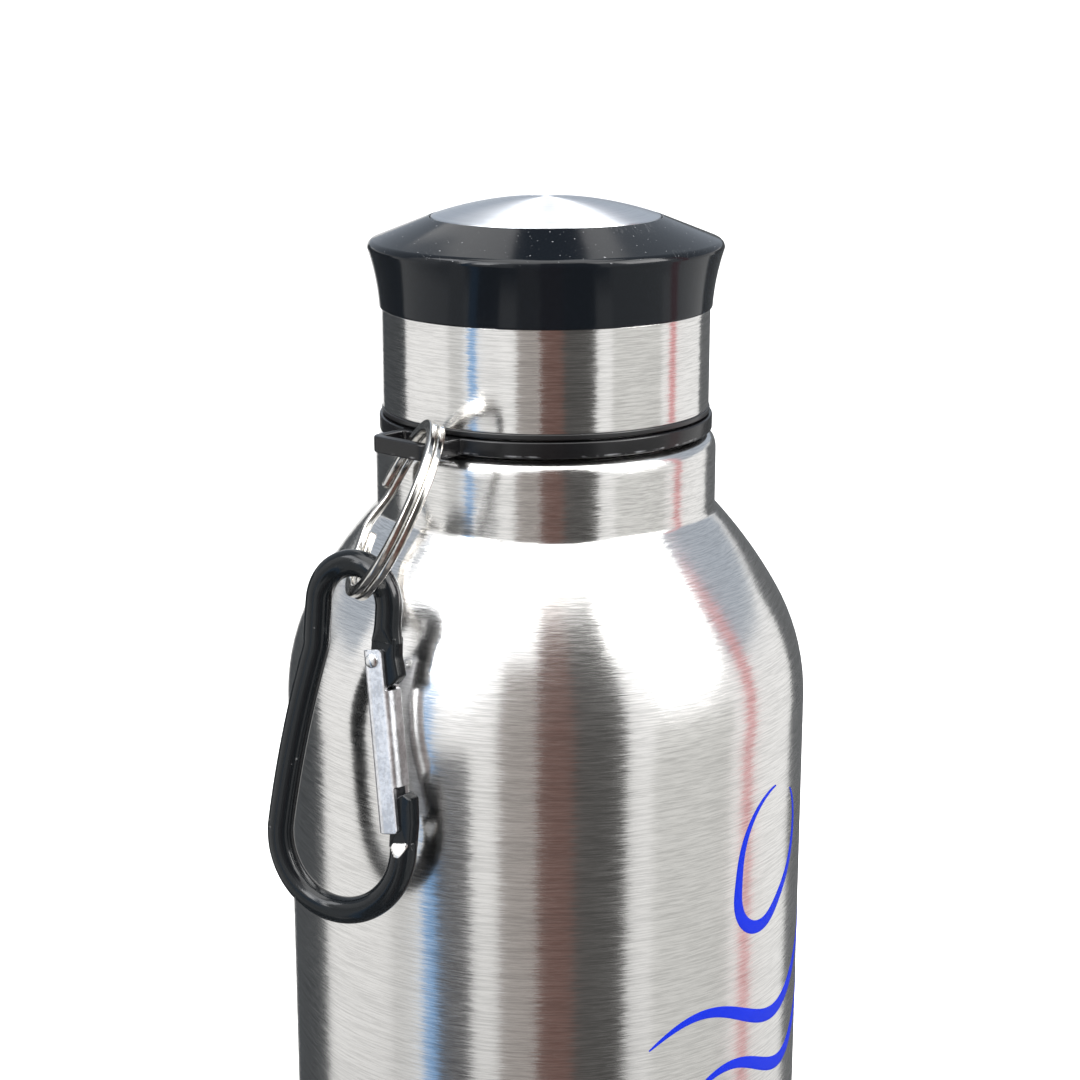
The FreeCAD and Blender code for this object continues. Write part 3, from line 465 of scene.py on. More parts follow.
def printInk():
    # Screen-printed blue: even, with a faint orange peel and pinholes.
    finish = Finish("printBlue")
    place = finish.place()
    peel = finish.noise(place, 2600.0, 2.0)
    thin = finish.between(finish.noise(place, 900.0, 2.0), 0.66, 0.75)
    base = finish.blend(thin * 0.4, colour(0.001, 0.012, 0.32), colour(0.004, 0.03, 0.4))
    return finish.surface({
        "Base Color": base, "Roughness": 0.45 + peel * 0.08, "Specular IOR Level": 0.06,
        "Normal": finish.bump(peel * 0.004 * mm),
    })


bodySteel = brushedSteel("bodySteel", steelLook, 50 * mm)
bandSteel = brushedSteel("bandSteel", steelLook, 30.7 * mm, roughness=0.14)
discSteel = brushedSteel("discSteel", steelLook, 21 * mm, hairLength=12.0, hairWidth=0.16, stretch=0.95,
                         roughness=0.33, colour=(0.76, 0.78, 0.81), hairDepth=0.0012, sway=0.03, tones=0.9)
flaskSteel = brushedSteel("flaskSteel", steelLook, 46 * mm, roughness=0.28, stretch=0.4,
                          colour=(0.68, 0.68, 0.68), sway=0.05)
baseSteel = brushedSteel("baseSteel", steelLook, 44 * mm)
capBlack = mouldedPlastic("capBlack", (0.003, 0.004, 0.0055), 0.08, 0.4, 0.4, specular=0.24)
linerBlack = mouldedPlastic("linerBlack", (0.006, 0.006, 0.0065), 0.26, 0.3, 0.3, grain=0.002)
ringNickel = plainMetal("ringNickel", (0.80, 0.78, 0.74), 0.06, 900.0, 0.004, stains=0.08)
gateMetal = plainMetal("gateMetal", (0.86, 0.87, 0.90), 0.22, 1500.0, 0.045, stains=0.15)
rivetMetal = plainMetal("rivetMetal", (0.78, 0.79, 0.80), 0.14, 1500.0, 0.01)
springSteel = plainMetal("springSteel", (0.55, 0.55, 0.56), 0.25, 3000.0, 0.004)
getterMetal = plainMetal("getterMetal", (0.34, 0.34, 0.36), 0.55, 4000.0, 0.05)
solderGlass = mouldedPlastic("solderGlass", (0.06, 0.055, 0.05), 0.12, 0.0, 0.0)
silicone = softRubber("silicone", (0.72, 0.72, 0.70), 0.42, 3000.0, 0.3)
foamWhite = softRubber("foamWhite", (0.82, 0.80, 0.74), 0.8, 1400.0)
tapeFoam = softRubber("tapeFoam", (0.70, 0.68, 0.62), 0.75, 2400.0)
carabinerBlack = anodisedRod()
inkBlue = printInk()
print("finishes ready")


def zRange(node):
    low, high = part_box(node)
    return low.z / mm, high.z / mm


shellLow, shellTop = zRange("outer_shell")
bottle = {
    "radius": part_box("outer_shell")[1].x / mm,
    "shoulder": 195.8,            # where the straight wall ends
    "breakIn": 5.5, "breakRise": 20.5,
    "lowerArc": 41.0, "upperArc": 90.0,
    "neck": 32.2, "neckFoot": 233.0, "ledge": 247.0,
    "spout": 27.3,
    "wall": 0.6,
    "ledgeRound": 3.0, "footRound": 1.6,
}


def shoulderStops(inset, lastRadius, lastHeight, lastRounding=0.0):
    # The shoulder is two arcs that meet at a slope of 30 degrees, all set in by inset.
    breakPoint = (bottle["radius"] - bottle["breakIn"] - inset * math.cos(math.radians(30)),
              bottle["shoulder"] + bottle["breakRise"] - inset * 0.5)
    return [
        (bottle["radius"] - inset, bottle["shoulder"], 6, bottle["lowerArc"] - inset),
        (*breakPoint, 0, bottle["upperArc"] - inset),
        (lastRadius, lastHeight, lastRounding),
    ]


def backwards(stops):
    # The same outline run the other way: each arc moves to the stop that it now starts at.
    full = [tuple(s) + (0,) * (4 - len(s)) for s in stops]
    return [(s[0], s[1], s[2], -full[i - 1][3] if i else 0) for i, s in reversed(list(enumerate(full)))]


wall = bottle["wall"]
shellSkin = [(bottle["radius"], shellLow, 0.25)]
shellSkin += shoulderStops(0, bottle["neck"], bottle["neckFoot"], bottle["footRound"])
shellSkin += [(bottle["neck"], bottle["ledge"], bottle["ledgeRound"]), (bottle["spout"], bottle["ledge"], 0.5),
              (bottle["spout"], shellTop, 0.1)]
shellInside = [(bottle["radius"] - wall, shellLow)]
shellInside += shoulderStops(wall, bottle["neck"] - wall, bottle["neckFoot"] - wall * 0.5)
shellInside += [(bottle["neck"] - wall, bottle["ledge"] - wall, 2.4),
                (bottle["spout"] - wall, bottle["ledge"] - wall), (bottle["spout"] - wall, shellTop)]
shell = turnedMesh("bottleShell", shellSkin + backwards(shellInside), around=288, step=2.5)
addPiece(shell, bodySteel, "bottle", ["outer_shell"])

baseTop = zRange("base_cup")[1]
base = {"round": 4.0, "rim": 3.0, "recess": 3.2, "wall": 0.8, "port": 1.0}
rimOut = bottle["radius"] - base["round"]
rimIn = rimOut - base["rim"]
cupStops = [
    (bottle["radius"], baseTop, 0.2), (bottle["radius"], 0, base["round"]), (rimIn, 0, 1.0),
    (rimIn, base["recess"], 0.5), (base["port"], base["recess"]), (base["port"], base["recess"] + base["wall"]),
    (rimIn + base["wall"], base["recess"] + base["wall"], 0.6), (rimIn + base["wall"], base["wall"], 0.3),
    (bottle["radius"] - base["wall"], base["wall"], base["round"] - base["wall"]),
    (bottle["radius"] - base["wall"], baseTop),
]
addPiece(turnedMesh("baseCup", cupStops, around=256), baseSteel, "bottle", ["base_cup"])

coverLow, coverTop = zRange("base_cover")
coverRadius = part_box("base_cover")[1].x / mm
coverStops = [
    (0, coverLow + 0.5), (12, coverLow + 0.5, 0.8), (13, coverLow, 0.8), (coverRadius, coverLow, 0.5),
    (coverRadius, coverTop, 0.1), (coverRadius - 0.6, coverTop, 0.1), (coverRadius - 0.6, coverLow + 0.6),
    (13, coverLow + 0.6), (12, coverLow + 1.1), (0, coverLow + 1.1),
]
addPiece(turnedMesh("baseCover", coverStops, around=160, closed=False), baseSteel, "bottle",
         ["base_cover"])

flaskLow, lipTop = zRange("inner_flask")
flask = {"inset": 3.6, "wall": 0.5, "corner": 12.0, "neckOut": 26.0, "mouth": 25.5}
flaskOut = bottle["radius"] - flask["inset"]
flaskIn = flaskOut - flask["wall"]
flaskSkin = [(0, flaskLow), (flaskOut, flaskLow, flask["corner"])]
flaskSkin += shoulderStops(flask["inset"], flask["neckOut"], bottle["neckFoot"])
flaskSkin += [(flask["neckOut"], lipTop - flask["wall"]), (bottle["spout"], lipTop - flask["wall"], 0.1),
              (bottle["spout"], lipTop, 0.35)]
flaskInside = [(0, flaskLow + flask["wall"]),
               (flaskIn, flaskLow + flask["wall"], flask["corner"] - flask["wall"])]
flaskInside += shoulderStops(flask["inset"] + flask["wall"], flask["mouth"], bottle["neckFoot"] - 0.25, 2.0)
flaskInside += [(flask["mouth"], lipTop, 0.45)]
addPiece(turnedMesh("innerFlask", flaskSkin + backwards(flaskInside), around=160, closed=False, step=3.0),
         flaskSteel, "bottle", ["inner_flask"])


def threadMesh(name, root, depth, start):
    # A ridge along a helix: radius root, height start + lead * turns; its section is a
    # rounded trapezium, and its depth fades out over the last eighth of a turn.
    turn = np.linspace(0, 2 * math.pi, 241)
    fade = np.clip(np.minimum(turn, turn[::-1]) / (math.pi / 4), 0.02, 1) ** 0.5
    away = np.stack([np.cos(turn), np.sin(turn), 0 * turn], 1)
    path = away * root + np.outer(start + thread["lead"] * turn / (2 * math.pi), [0, 0, 1])
    corners = outlinePoints([(-0.25 * np.sign(depth), -thread["root"] / 2), (0, -thread["root"] / 2),
                             (depth, -thread["crest"] / 2, 0.3), (depth, thread["crest"] / 2, 0.3),
                             (0, thread["root"] / 2), (-0.25 * np.sign(depth), thread["root"] / 2)], step=0.3)
    sections = np.stack([np.outer(fade, corners[:, 0]), np.outer(0 * fade + 1, corners[:, 1])], -1)
    sections[..., 0] = np.where(corners[None, :, 0] * np.sign(depth) <= 0, corners[None, :, 0], sections[..., 0])
    return sweptMesh(name, path, away, np.tile([0, 0, 1.0], (len(turn), 1)), sections)


thread = {"lead": 8.0, "root": 1.7, "crest": 0.8, "depth": 1.2, "start": 254.8}
for half in range(2):
    ridge = threadMesh(f"spoutThread{half + 1}", bottle["spout"], thread["depth"], thread["start"])
    addPiece(ridge, bodySteel, "bottle", ["outer_shell"], Matrix.Rotation(math.pi * half, 4, "Z"))
print("bottle ready")


bandLow, bandTop = zRange("lid_band")
band = {"radius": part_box("lid_band")[1].x / mm, "wall": 0.4}
bandStops = [(band["radius"] - band["wall"], bandLow, 0.1), (band["radius"], bandLow, 0.22),
             (band["radius"], bandTop, 0.15), (band["radius"] - band["wall"], bandTop, 0.1)]
addPiece(turnedMesh("lidBand", bandStops, around=288, step=1.0), bandSteel, "lid", ["lid_band"])

capLow, capTop = zRange("lid_cap")
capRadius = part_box("lid_cap")[1].x / mm
cap = {"foot": 31.1, "skirt": 11.0, "flare": 45.0, "brim": 1.1, "sleeve": 30.3, "seat": 28.65, "wall": 2.0,
       "discHole": 21.55, "discDrop": 1.1}
brimZ = capLow + cap["skirt"]
slopeZ = brimZ + cap["brim"]
linerTop = zRange("lid_liner")[1]
capStops = [
    (cap["sleeve"], capLow), (cap["foot"], capLow, 0.35, -cap["flare"]), (capRadius, brimZ + 0.08, 0.3, 1.5),
    (capRadius - 0.95, slopeZ + 0.37, 0.5), (cap["discHole"], capTop, 0.25),
    (cap["discHole"], capTop - cap["discDrop"], 0.1),
    (0, capTop - cap["discDrop"]), (0, capTop - cap["discDrop"] - cap["wall"]),
]
capUnder = [
    (19.4, capTop - cap["discDrop"] - cap["wall"]), (cap["seat"], slopeZ - cap["wall"]),
    (cap["seat"], linerTop), (cap["sleeve"], linerTop),
]


def capMesh():
    # Two poles on the axis: over the top from the sleeve's mouth to the axis, and back
    # under it; the outline is cut at the axis and closed at the sleeve.
    upper = outlinePoints(capStops[:7], closed=False, step=0.8, degrees=8)
    under = outlinePoints([(0, capStops[7][1])] + capUnder + [capStops[0]], closed=False, step=1.5)
    outline = np.concatenate([upper[::-1], under[::-1][1:]])
    return gridMesh("lidCap", turnedGrid(outline, 288), poleStart=True, poleEnd=True)


addPiece(capMesh(), capBlack, "lid", ["lid_cap"])

discLow, discTop = zRange("lid_disc")
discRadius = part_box("lid_disc")[1].x / mm
disc = {"rise": 3.5, "wall": 0.6}
discEdge = discTop - disc["rise"]


def domeArc(radius, rise):
    return (radius * radius + rise * rise) / (2 * rise)


discStops = [
    (0, discTop, 0, -domeArc(discRadius, disc["rise"])), (discRadius, discEdge, 0.35),
    (discRadius, discLow, 0.1), (discRadius - disc["wall"], discLow, 0.1),
    (discRadius - disc["wall"], discEdge - 0.3, 0.2, domeArc(discRadius - disc["wall"], disc["rise"] - 0.3)),
    (0, discTop - disc["wall"]),
]
addPiece(turnedMesh("lidDisc", discStops, around=256, closed=False, step=0.8), discSteel, "lid",
         ["lid_disc"])

linerLow = zRange("lid_liner")[0]
liner = {"bore": 28.8, "flange": 30.9, "wall": 30.25, "top": 28.65, "plug": 24.7, "plugIn": 23.3,
         "seat": 268.35, "web": 270.35, "plugLow": 254.0, "plugFloor": 255.4}
linerOver = [
    (0, liner["plugFloor"]), (liner["plugIn"], liner["plugFloor"], 0.6), (liner["plugIn"], liner["web"], 0.5),
    (liner["top"], liner["web"]), (liner["top"], linerTop), (liner["wall"], linerTop),
    (liner["wall"], bandLow), (liner["flange"], bandLow, 0.2), (liner["flange"], linerLow, 0.25),
    (liner["bore"], linerLow, 0.4), (liner["bore"], liner["seat"], 0.3), (liner["plug"], liner["seat"], 0.3),
    (liner["plug"], liner["plugLow"], 1.0), (0, liner["plugLow"]),
]
addPiece(turnedMesh("lidLiner", linerOver, around=224, closed=False), linerBlack, "lid",
         ["lid_liner"])
for half in range(2):
    ridge = threadMesh(f"lidThread{half + 1}", liner["bore"], -1.1, thread["start"] + thread["lead"] / 4)
    addPiece(ridge, linerBlack, "lid", ["lid_liner"], Matrix.Rotation(math.pi * half, 4, "Z"))

sealLow, sealTop = zRange("lid_seal")
seal = {"inner": 25.0, "outer": 28.5, "lowRound": 0.5, "topRound": 0.3}
sealStops = [(seal["inner"], sealLow, seal["lowRound"]), (seal["outer"], sealLow, seal["lowRound"]),
             (seal["outer"], sealTop, seal["topRound"]), (seal["inner"], sealTop, seal["topRound"])]
addPiece(turnedMesh("lidSeal", sealStops, around=160, step=0.8), silicone, "gasket", ["lid_seal"])
print("lid ready")


collarLow, collarTop = zRange("neck_collar")
collar = {"outer": 31.4, "bore": 28.9, "lugHalf": 7.3, "lugOut": 39.4, "lugRound": 2.4, "holeHalf": 5.5,
          "holeNear": 31.8, "holeFar": 37.4, "edge": 0.35, "turn": -42.0}


def collarMesh():
    # A flat curve: the collar's circle with its lug, less the bore and the slot, raised by
    # its height with a quarter-round edge.
    r, half = collar["outer"], collar["lugHalf"]
    root = -math.sqrt(r * r - half * half)
    outer = [(half, root, 0.5, r), (r, 0, 0, r), (0, r, 0, r), (-r, 0, 0, r), (-half, root, 0.5),
             (-half, -collar["lugOut"], collar["lugRound"]), (half, -collar["lugOut"], collar["lugRound"])]
    b = collar["bore"]
    bore = [(b, 0, 0, b), (0, b, 0, b), (-b, 0, 0, b), (0, -b, 0, b)]
    h, near, far = collar["holeHalf"], -collar["holeNear"], -collar["holeFar"]
    hole = [(h, near, 0.9), (-h, near, 0.9), (-h, far, 0.9), (h, far, 0.9)]
    flat = bpy.data.curves.new("collarFlat", "CURVE")
    flat.dimensions, flat.fill_mode = "2D", "BOTH"
    edge = collar["edge"] * mm
    flat.extrude = (collarTop - collarLow) / 2 * mm - edge
    flat.bevel_depth, flat.bevel_resolution, flat.offset = edge, 3, -edge
    for stops in (outer, bore, hole):
        points = outlinePoints(stops, step=0.8, degrees=6) * mm
        line = flat.splines.new("POLY")
        line.points.add(len(points) - 1)
        line.points.foreach_set("co", np.column_stack([points, 0 * points[:, :1], 1 + 0 * points[:, :1]]).ravel())
        line.use_cyclic_u = True
    holder = linked("collarHolder", flat)
    made = finalMesh(holder, "neckCollar")
    bpy.data.objects.remove(holder)
    shape = bmesh.new()
    shape.from_mesh(made)
    bmesh.ops.remove_doubles(shape, verts=shape.verts, dist=1e-6)
    bmesh.ops.recalc_face_normals(shape, faces=shape.faces)
    shape.to_mesh(made)
    shape.free()
    return made


collarPlace = Matrix.Translation((0, 0, (collarLow + collarTop) / 2 * mm)) @ Matrix.Rotation(
    math.radians(collar["turn"]), 4, "Z")
# the collar carries a painted highlight line just above its lower edge
collarBlack = mouldedPlastic("collarBlack", (0.004, 0.004, 0.0045), 0.2, 0.15, 0.2, grain=0.002, specular=0.35,
                             highlightLineAt=collarLow + 0.45)
addPiece(collarMesh(), collarBlack, "collar", ["neck_collar"], collarPlace, 35)
print("collar ready")


splitRing = {
    "centre": (-26.906, -37.810, 240.517), "axis": (0.892276, 0.119724, -0.435328),
    "radius": 15.85, "strip": 2.2, "height": 1.4, "gap": 0.06,
    "shift": 0.515,               # middle of the two coils, along the axis
    "tip": 0.365,                 # further back at the lowest point, further on at the bar
    "step": 32.0,                 # degrees over which the strip changes level
    "stepAt": 75.0,               # from the lowest point
}


def splitRingMesh():
    # Angle a runs nearly two turns; the strip lies on the lower level for the first and on
    # the upper for the second, with a smooth step 3 t^2 - 2 t^3 between them.
    axis = Vector(splitRing["axis"]).normalized()
    level = axis.cross(up).normalized()
    lowest = axis.cross(level)
    lowest = lowest if lowest.z < 0 else -lowest
    other = axis.cross(lowest)
    step = math.radians(splitRing["step"])
    total = 4 * math.pi - step
    a = np.linspace(0, total, 561)
    t = np.clip((a - (2 * math.pi - step)) / step, 0, 1)
    rise = (splitRing["height"] + splitRing["gap"]) * (t * t * (3 - 2 * t) - 0.5)
    turn = a + math.radians(splitRing["stepAt"]) + step / 2
    rise = rise + splitRing["shift"] - splitRing["tip"] * np.cos(turn)
    away = np.outer(np.cos(turn), lowest) + np.outer(np.sin(turn), other)
    path = np.array(splitRing["centre"]) + away * splitRing["radius"] + np.outer(rise, axis)
    w, h = splitRing["strip"] / 2, splitRing["height"] / 2
    section = outlinePoints([(-w, -h, 0.42), (w, -h, 0.42), (w, h, 0.42), (-w, h, 0.42)], step=0.35, degrees=18)
    ends = np.minimum(np.minimum(a, total - a) * splitRing["radius"] / 0.25, 1)
    swell = 0.8 + 0.2 * np.sqrt(np.clip(1 - (1 - ends) ** 2, 0, 1))
    sections = swell[:, None, None] * section[None]
    return sweptMesh("splitRing", path, away, np.tile(np.array(axis), (len(a), 1)), sections)


addPiece(splitRingMesh(), ringNickel, "ring", ["split_ring"])
print("split ring ready")


# the carabiner is drawn in its own plane: X to the right, Z up, Y through it
gateJoint = next(j for j in frame["joints"] if j["name"] == "gate_open")
through = Vector(gateJoint["axis"]).normalized()
toRight = through.cross(up).normalized()
upwards = toRight.cross(through)
hook = {"rod": 2.4, "head": 7.2, "foot": 12.9, "span": 42.3, "waistDrop": 7.0, "waistArc": 9.0, "heelDrop": 5.8,
        "noseAngle": 8.0, "legTurn": 5.0, "pivotX": 5.8, "pivotDrop": 9.05, "gateAngle": 9.7, "tongue": 3.2}
hookAxes = Matrix((toRight, through, upwards)).transposed().to_4x4()
pivotPoint = Vector(gateJoint["pos_m"])
hookOrigin = pivotPoint - (toRight * hook["pivotX"] - upwards * hook["pivotDrop"]) * mm
hookPlace = Matrix.Translation(hookOrigin) @ hookAxes


def onFoot(degrees):
    angle = math.radians(degrees)
    return hook["foot"] * math.cos(angle), -hook["span"] + hook["foot"] * math.sin(angle)


def rodLine():
    # Heel, small end, waist, bowed leg and large end as tangent arcs, from heel to nose.
    head, waist = hook["head"], hook["waistArc"]
    legEnd = onFoot(180 - hook["legTurn"])
    turn = hook["legTurn"]
    for _ in range(12):
        angle = math.radians(turn)
        waistEnd = (-head - waist * (1 - math.cos(angle)), -hook["waistDrop"] - waist * math.sin(angle))
        slope = math.degrees(math.atan2(waistEnd[0] - legEnd[0], waistEnd[1] - legEnd[1]))
        turn = 2 * slope - hook["legTurn"]
    bow = math.radians(turn - hook["legTurn"])
    legArc = math.dist(waistEnd, legEnd) / 2 / math.sin(bow / 2)
    stops = [(head, -hook["heelDrop"]), (head, 0, 0, head), (0, head, 0, head), (-head, 0),
             (-head, -hook["waistDrop"], 0, -waist), (*waistEnd, 0, legArc)]
    stops += [(*onFoot(angle), 0, hook["foot"]) for angle in (180 - hook["legTurn"], 240, 300)]
    stops += [(*onFoot(360 + hook["noseAngle"]),)]
    return outlinePoints(stops, closed=False, step=0.45, degrees=5)


def rodMesh():
    # A circle of the rod's radius is carried along the line and pressed flat front and back
    # towards both ends; a shallow swage bulges the small end's outer side and stops short
    # at the waist.
    line = rodLine()
    way = np.gradient(line, axis=0)
    way /= np.hypot(*way.T)[:, None]
    done = np.concatenate([[0], np.cumsum(np.hypot(*np.diff(line, axis=0).T))])
    left = done[-1] - done
    q = np.linspace(0, 2 * math.pi, 40, endpoint=False)
    flat = hook["tongue"] / 2
    half = np.minimum(flat + (hook["rod"] - flat) * np.clip(done / 2.6, 0, 1) ** 0.8,
                      flat + (hook["rod"] - flat) * np.clip(left / 2.1, 0, 1))
    wide = hook["rod"] + 0.45 * np.clip(1 - done / 3.2, 0, 1) ** 1.5
    waistAt = hook["heelDrop"] + math.pi * hook["head"] + hook["waistDrop"]
    swage = np.clip((done - waistAt + 9.0) / 6.0, 0, 1) * np.clip((waistAt + 0.6 - done) / 0.35, 0, 1)
    outside = np.clip(np.cos(q), 0, 1) ** 1.5
    reach = wide[:, None] + 0.30 * swage[:, None] * outside[None]
    across = reach * np.cos(q)
    depth = np.clip(hook["rod"] * np.sin(q)[None] + 0 * reach, -half[:, None], half[:, None])
    path = np.stack([line[:, 0], 0 * done, line[:, 1]], 1)
    side = np.stack([way[:, 1], 0 * done, -way[:, 0]], 1)
    mesh = sweptMesh("carabinerRod", path, side, np.tile([0, 1.0, 0], (len(done), 1)),
                     np.stack([across, depth], -1))
    return mesh, line[-1], way[-1]


def markWorn(mesh, strength):
    # strength is a function of the mesh's points in millimetres, before they are placed
    points = np.empty(len(mesh.vertices) * 3)
    mesh.vertices.foreach_get("co", points)
    worn = mesh.attributes.new("worn", "FLOAT", "POINT")
    worn.data.foreach_set("value", strength(points.reshape(-1, 3) / mm).astype(np.float32))


rod, noseEnd, noseWay = rodMesh()


def rodWear(p):
    # bare on the slanted flats next to the nose
    below = noseEnd[1] - p[:, 2]
    slant = (np.abs(p[:, 1]) > 1.55) & (below > -0.2) & (below < 2.3) & (p[:, 0] > 8)
    flat = np.abs(np.abs(p[:, 1]) - np.interp(below, [0, 2.1], [1.6, 2.4])) < 0.05
    return np.where(slant & flat, 1.0, 0.0)


markWorn(rod, rodWear)
addPiece(rod, carabinerBlack, "carabiner", ["carabiner_frame"], hookPlace)

tongues = {
    "overlap": 1.1, "heelReach": 5.4, "webInset": 1.0, "edge": 0.35,
    "noseLength": 7.6, "noseThroat": 3.4, "noseTip": 1.2,
}


def heelOutline():
    # Straight inner edge along the gate's web, and a round end about the pivot outside.
    px, pz = hook["pivotX"], -hook["pivotDrop"]
    top = -hook["heelDrop"] + tongues["overlap"]
    reach = tongues["heelReach"]
    inner = px - tongues["webInset"]
    slope = math.tan(math.radians(hook["gateAngle"]))
    low = pz - reach * 0.93
    right = hook["head"] + hook["rod"]
    roundStart = (right + 1.1, pz - math.sqrt(max(0, reach ** 2 - (right + 1.1 - px) ** 2)))
    bottom = (inner + (pz - low) * slope, pz - math.sqrt(reach ** 2 - (inner + (pz - low) * slope - px) ** 2))
    return outlinePoints([
        (hook["head"] - hook["rod"] * 0.95, top, 0.3), (inner, pz, 0.4), (*bottom, 0.6, reach),
        (*roundStart, 0.6), (right + 0.15, pz + 1.0, 2.0), (right, top, 0.3),
    ], step=0.5)


def noseOutline():
    rodRadius = hook["rod"]
    x, z = noseEnd
    bottom, throat = z - tongues["overlap"], z + tongues["noseThroat"]
    top = z + tongues["noseLength"]
    tip = top + tongues["noseTip"]
    return outlinePoints([
        (x - rodRadius * 0.85, bottom, 0.2), (x + rodRadius * 0.9, bottom, 0.2),
        (x + rodRadius * 0.95, throat, 1.0), (x + rodRadius * 0.75, tip - rodRadius / 3, 0.5),
        (x + rodRadius * 0.1, tip, 0.4), (x - rodRadius * 0.6, top, 0.5), (x - rodRadius * 0.6, throat, 0.8),
        (x - rodRadius * 0.85, z + rodRadius * 0.85, 0.5),
    ], step=0.5)


for name, outline in (("carabinerHeel", heelOutline()), ("carabinerNose", noseOutline())):
    tongue = plateMesh(name, outline, hook["tongue"] - 0.02, tongues["edge"])
    markWorn(tongue, lambda p: 0 * p[:, 0])
    addPiece(tongue, carabinerBlack, "carabiner", ["carabiner_frame"], hookPlace)

gate = {"left": -2.1, "width": 5.1, "depth": 5.0, "sheet": 0.8, "top": 1.9, "length": 32.4, "bend": 1.5,
        "slot": 7.3, "notch": 8.2, "step": 1.0, "corner": 0.9, "webTop": -1.6}
gatePlace = Matrix.Translation(pivotPoint) @ hookAxes @ Matrix.Rotation(math.radians(-hook["gateAngle"]), 4, "Y")


def gateMesh():
    # A rounded tube of sheet, cut to its side outline: the outer face is open over the heel
    # and over the nose, and the web is cut back over the pivot.
    left, right = gate["left"], gate["left"] + gate["width"]
    middle, halfDepth = (left + right) / 2, gate["depth"] / 2
    halfWidth = gate["width"] / 2
    sheet = gate["sheet"]

    def ring(inset):
        w, d, bend = halfWidth - inset, halfDepth - inset, gate["bend"] - inset
        return outlinePoints([(-w, -d, bend), (w, -d, bend), (w, d, bend), (-w, d, bend)], step=0.5, degrees=9)

    bottom = gate["top"] - gate["length"]
    outside, inside = ring(0), ring(sheet)
    inside = inside[np.argmin(np.hypot(*(inside[:, None] - outside[None]).transpose(2, 0, 1)), 0)]
    edge = 0.18
    
    def shrink(ringPoints, much):
        return ringPoints * (1 - much / halfWidth)

    rows = [(shrink(inside, -edge), bottom), (shrink(outside, edge), bottom), (outside, bottom + edge)]
    rows += [(outside, z) for z in np.linspace(bottom + 1, gate["top"] - 1, 40)]
    rows += [(outside, gate["top"] - edge), (shrink(outside, edge), gate["top"]),
             (shrink(inside, -edge), gate["top"])]
    rows += [(inside, gate["top"] - edge), (inside, bottom + edge)]
    grid = np.stack([np.column_stack([middle + p[:, 0], p[:, 1], z + 0 * p[:, 0]]) for p, z in rows])
    tube = gridMesh("carabinerGate", grid, wrapRows=True)
    slotZ, notchZ = gate["top"] - gate["slot"], bottom + gate["notch"]
    step, corner = gate["step"], gate["corner"]
    side = outlinePoints([
        (left - 0.4, gate["top"], corner), (left - 0.4, bottom, corner), (right - step, bottom, corner),
        (right - step, notchZ, 0.45), (right + 1, notchZ), (right + 1, slotZ), (right - step, slotZ, 0.2),
        (right - step, gate["top"], corner),
    ], step=1.0)
    prism = prismMesh("gateSide", side, -4, 4)
    block = outlinePoints([(left - 1, gate["webTop"]), (middle - 0.3, gate["webTop"]),
                           (middle - 0.3, gate["top"] + 1), (left - 1, gate["top"] + 1)], step=3.0)
    window = prismMesh("gateWindow", block, -halfDepth + sheet, halfDepth - sheet)
    return carve(tube, [(prism, "INTERSECT"), (window, "DIFFERENCE")])


gateShape = gateMesh()
gateShape.name = "carabinerGate"
addPiece(gateShape, gateMetal, "gate", ["carabiner_gate"], gatePlace, 40)

rivet = {"radius": 1.4, "rise": 0.6, "face": 2.6, "shank": 0.8}
rivetTop = rivet["face"] + rivet["rise"]
rivetStops = [(0, rivetTop, 0, -domeArc(rivet["radius"], rivet["rise"])), (rivet["radius"], rivet["face"], 0.12),
              (rivet["shank"], rivet["face"]), (rivet["shank"], -rivet["face"]),
              (rivet["radius"], -rivet["face"], 0.12, -domeArc(rivet["radius"], rivet["rise"])), (0, -rivetTop)]
rivetPlace = Matrix.Translation(pivotPoint) @ hookAxes @ Matrix.Rotation(math.pi / 2, 4, "X")
addPiece(turnedMesh("gateRivet", rivetStops, around=48, closed=False, step=0.2), rivetMetal, "carabiner",
         ["gate_rivet"], rivetPlace)
print("carabiner ready")


# the printed mark is a drop over two waves, on the wall's skin
mark = {
    "middle": 62.0, "height": 152.0,    # degrees round the wall, and millimetres up it
    "thick": 0.05, "lift": 0.01,
    "waves": ((-8.0, 64.0, 5.0, -3.0), (-20.0, 56.0, 4.6, 1.0)),    # level, length, swing, slide
    "periods": 1.25, "phase": 0.4, "climb": 9.0,
    "dropTop": 14.0, "dropSide": -8.0, "dropRound": 7.0, "dropTip": 13.5, "dropTilt": 62.0,
}


